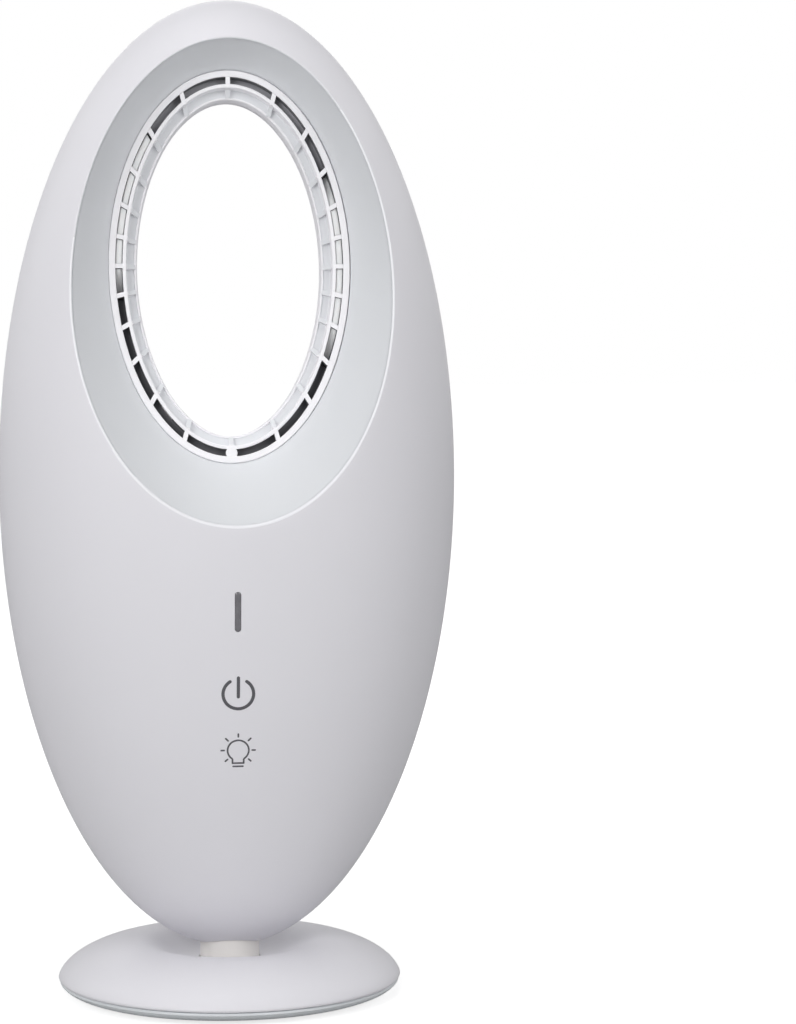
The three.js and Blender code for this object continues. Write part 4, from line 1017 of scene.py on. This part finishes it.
def motor():
    return turned(soften([
        (1.6, 96), (3.2, 96, 0.2), (3.2, 96.4, 0.1), (6, 96.4, 0.2), (11, 96.6, 0.5), (12, 97.6, 0.4), (12, 99, 0.1),
        (11.8, 99.2), (11.8, 99.6), (12, 99.8, 0.1), (12, 112, 0.5), (0, 112)], False)
        + [(0, 110.6), (1.6, 110.6), (1.6, 96)])


def battery_cell():
    points, faces = turned(soften([
        (0, 0), (6.5, 0, 0.2), (7.2, 0.25, 0.2), (9.1, 0.25, 0.5), (9.1, 62.8, 0.5), (8.6, 63.8, 0.3),
        (7.4, 63.8, 0.2), (7, 63.3, 0.2), (3.2, 63.3, 0.1), (3, 65, 0.3), (0, 65)], False), 96)
    return row(points[:, 2] - 32.5, points[:, 1], 50 - points[:, 0]), faces


def ballast_ring():
    return turned(soften([(16, 3.1, 0.3), (36.5, 3.1, 0.5), (36.5, 8.4, 0.5), (16, 8.4, 0.3)]))


def post_retainer():
    body = make("retainer", turned(soften([
        (0, 3.2), (11.5, 3.2, 0.3), (11.5, 5.1, 0.3), (4.7, 5.1, 0.2), (4.7, 14, 0.5), (0, 14)], False)))
    return carve(body, [arc_block(10.5, 14.6, 3.201, 5.099, 90, 10)], "UNION")


# ---- putting it together

def recess_share(spot):
    """How far out in the recess a point is: 1 on its edge."""
    up = (spot[2] - RECESS_Z) / RECESS_C
    return math.hypot(spot[0] / RECESS_A / (1 - RECESS_EGG * up), up)


def on_painted_highlight(spot):
    """Whether a point is on the painted highlight along the recess's edge, which fades out at the upper left."""
    toward = math.degrees(math.atan2(spot[0], spot[2] - RECESS_Z)) % 360
    return HIGHLIGHT_FROM < toward < HIGHLIGHT_TO and HIGHLIGHT_IN < recess_share(spot) < HIGHLIGHT_OUT


shell = piece("front_shell", front_shell(), "head", "white_shell")
# Painted shade: the recess's front-facing faces get a darker, slightly cooler white than the shell.
tint(shell, "white_funnel", lambda spot, way: way.y < -0.1 and recess_share(spot) < 1)
# Painted highlight: a paler white along the recess's edge, fading out at the upper left.
tint(shell, "white_edge", lambda spot, way: way.y < -0.1 and on_painted_highlight(spot))
for name, shape in (("rear_shell", rear_shell), ("intake_grille", intake_grille)):
    piece(name, shape(), "head", "white_shell")
grille = piece("outlet_grille", outlet_grille(), "head", "white_grille")
# Painted shade: mid grey on the slot's walls, standing for the shade inside the slot.
tint(grille, "slot_lining", lambda spot, way: in_slot(spot))
# Painted shade: the pocket floors inside the slot get the recess's darker white.
tint(grille, "white_funnel", lambda spot, way: in_pocket(spot) and way.y < -0.5)
# Painted light and shade: the screen at the top gets a paler grey than the one at the bottom, as the top cells catch
# more light.
for where, start, end in (("top", LEFT_LIGHT[1], RIGHT_LIGHT[0]), ("bottom", RIGHT_LIGHT[1], LEFT_LIGHT[0] + 360)):
    screen = piece(f"outlet_screen_{where}", outlet_screen(start, end), "head", "dark_plastic")
    screen.data.materials[0] = MATERIALS[f"screen_{where}"]
for name, slot, shape in (
        ("light_guide_right", "diffuser", lambda: light_guide(RIGHT_LIGHT)),
        ("light_guide_left", "diffuser", lambda: light_guide(LEFT_LIGHT)),
        ("neck_post", "warm_neck", neck_post), ("indicator_lens", "smoke_lens", indicator_lens),
        ("usb_socket", "steel", usb_socket), ("usb_tongue", "dark_plastic", usb_tongue),
        ("usb_contacts", "steel", usb_contacts), ("battery_cell", "cell_sleeve", battery_cell),
        ("motor", "steel", motor), ("impeller_duct", "dark_plastic", impeller_duct),
        ("post_retainer", "acetal", post_retainer)):
    piece(name, shape(), "head", slot)
for sign, shape in (("power_sign", power_sign()), ("lamp_sign", lamp_sign())):
    mark = piece(sign, shape, "head", "smoke_lens")
    mark.data.materials[0] = MATERIALS["ink"]
shell_screw = screw(SCREW_R, SCREW_HEAD, 2, SCREW_HEAD_Y + 2 - SCREW_TIP_Y)
for i, (x, z) in enumerate(SCREW_PLACES):
    piece(f"shell_screw_{i + 1}", along_y(shell_screw, x, SCREW_HEAD_Y + 2, z), "head", "steel")

piece("base_top_shell", base_top(), "base", "white_shell")
piece("base_bottom_tray", base_tray(), "base", "grey_tray")
piece("ballast_ring", ballast_ring(), "base", "ballast_steel")
base_screw = screw(BASE_SCREW_R, BASE_SCREW_HEAD, 0.6, BASE_SCREW_TOP - BASE_SCREW_Z)
for i, (x, y) in enumerate(around(3, BASE_SCREW_RING, math.pi / 2)):
    piece(f"base_screw_{i + 1}", moved(base_screw, x, y, BASE_SCREW_Z), "base", "steel")
for i, (x, y) in enumerate(around(4, FOOT_RING, math.pi / 4)):
    piece(f"foot_{i + 1}", foot(x, y), "base", "rubber")

piece("impeller", impeller(), "rotor", "dark_plastic")
dome = [(0, 71.5), (3.4, 71.9, 1), (6.2, 73.4, 1.2), (7.8, 75.7, 0.2), (0, 75.7)]
piece("hub_cap", turned(soften(dome, False)), "rotor", "dark_plastic")
piece("motor_shaft", turned(soften([(0, 79), (1.5, 79, 0.2), (1.5, 110, 0.3), (0, 110)], False), 48), "rotor", "steel")

KEPT = {
    "acetal": ["swivel_bush"], "steel": ["friction_washer"], "foam": ["touch_pad_power", "touch_pad_lamp"],
    "circuit_board": ["led_strip_right", "led_strip_left", "control_board", "charge_board"],
    "dark_plastic": ["battery_cradle", "baffle_plate"],
}
for slot, nodes in KEPT.items():
    for node in nodes:
        kept = frame["nodes"][node].data.materials
        kept.clear()
        kept.append(MATERIALS[slot])


# ---- stage, light and camera

def floor():
    """A pale floor that turns plain white for the camera away from the object's shadow."""
    b = Build("floor")
    seen = b.add("ShaderNodeLightPath").outputs["Is Camera Ray"]
    far = b.add("ShaderNodeVectorMath", {0: b.where}, operation="LENGTH").outputs["Value"]
    glow = b.math("MULTIPLY", seen, b.ramp(far, *GLOW_REACH, FLOOR_GLOW, 1))
    b.put(Base_Color=linear(205, 205, 205), Roughness=0.9, Specular_IOR_Level=0.1)
    b.put(Emission_Color=(1, 1, 1, 1), Emission_Strength=glow)
    corners = np.array([(-6000, -4000, 0), (6000, -4000, 0), (6000, 9000, 0), (-6000, 9000, 0)], float)
    plane = make("floor", (corners, [(0, 1, 2, 3)]))
    plane.data.materials.append(b.material)


def world():
    """White behind everything that the camera and reflections see, and an even light on the rest."""
    studio = bpy.context.scene.world = bpy.data.worlds.new("studio")
    g = Graph(studio)
    path = g.add("ShaderNodeLightPath").outputs
    clear = g.math("MAXIMUM", path["Is Glossy Ray"], path["Is Transmission Ray"])
    seen = g.math("MAXIMUM", path["Is Camera Ray"], clear)
    g.feed(g.nodes["Background"].inputs, {"Color": (1, 1, 1, 1), "Strength": g.ramp(seen, 0, 1, AMBIENT, 1)})


def lamp(name, around_deg, up_deg, watts):
    """A soft panel that looks at the fan from a direction: degrees to the right of the front, and up."""
    turn, rise = math.radians(around_deg), math.radians(up_deg)
    light = bpy.data.lights.new(name, "AREA")
    light.shape, light.size, light.energy = "SQUARE", LAMP_SIZE, watts
    obj = bpy.data.objects.new(name, light)
    aim = Vector((0, 0, 0.15))
    way = Vector((math.sin(turn) * math.cos(rise), -math.cos(turn) * math.cos(rise), math.sin(rise)))
    obj.location = aim + way * LAMP_DISTANCE
    obj.rotation_euler = way.to_track_quat("Z", "Y").to_euler()
    bpy.context.scene.collection.objects.link(obj)


def camera():
    """The photograph's view: from the front, a little to the fan's left and above its middle."""
    around_deg, distance, height = -3.405, 0.9013, 0.2032
    pitch_deg, yaw_deg, focal = 3.615, 6.678, 104.57
    data = bpy.data.cameras.new("camera")
    data.sensor_fit, data.sensor_height, data.lens = "VERTICAL", 36, focal
    obj = bpy.data.objects.new("camera", data)
    turn = math.radians(around_deg)
    obj.location = (distance * math.sin(turn), -distance * math.cos(turn), height)
    obj.rotation_euler = Euler((math.radians(90 - pitch_deg), 0, -math.radians(yaw_deg)))
    bpy.context.scene.collection.objects.link(obj)
    bpy.context.scene.camera = obj


floor()
world()
for placed in (("front_left", -35, 20, 8.4), ("front_right", 35, 20, 5.5), ("top", -20, 78, 5.2),
               ("left", -115, 25, 2.5), ("right", 115, 25, 2.2), ("rear", 180, 30, 1.6)):
    lamp(*placed)
camera()
bpy.context.scene.view_settings.view_transform = "Standard"
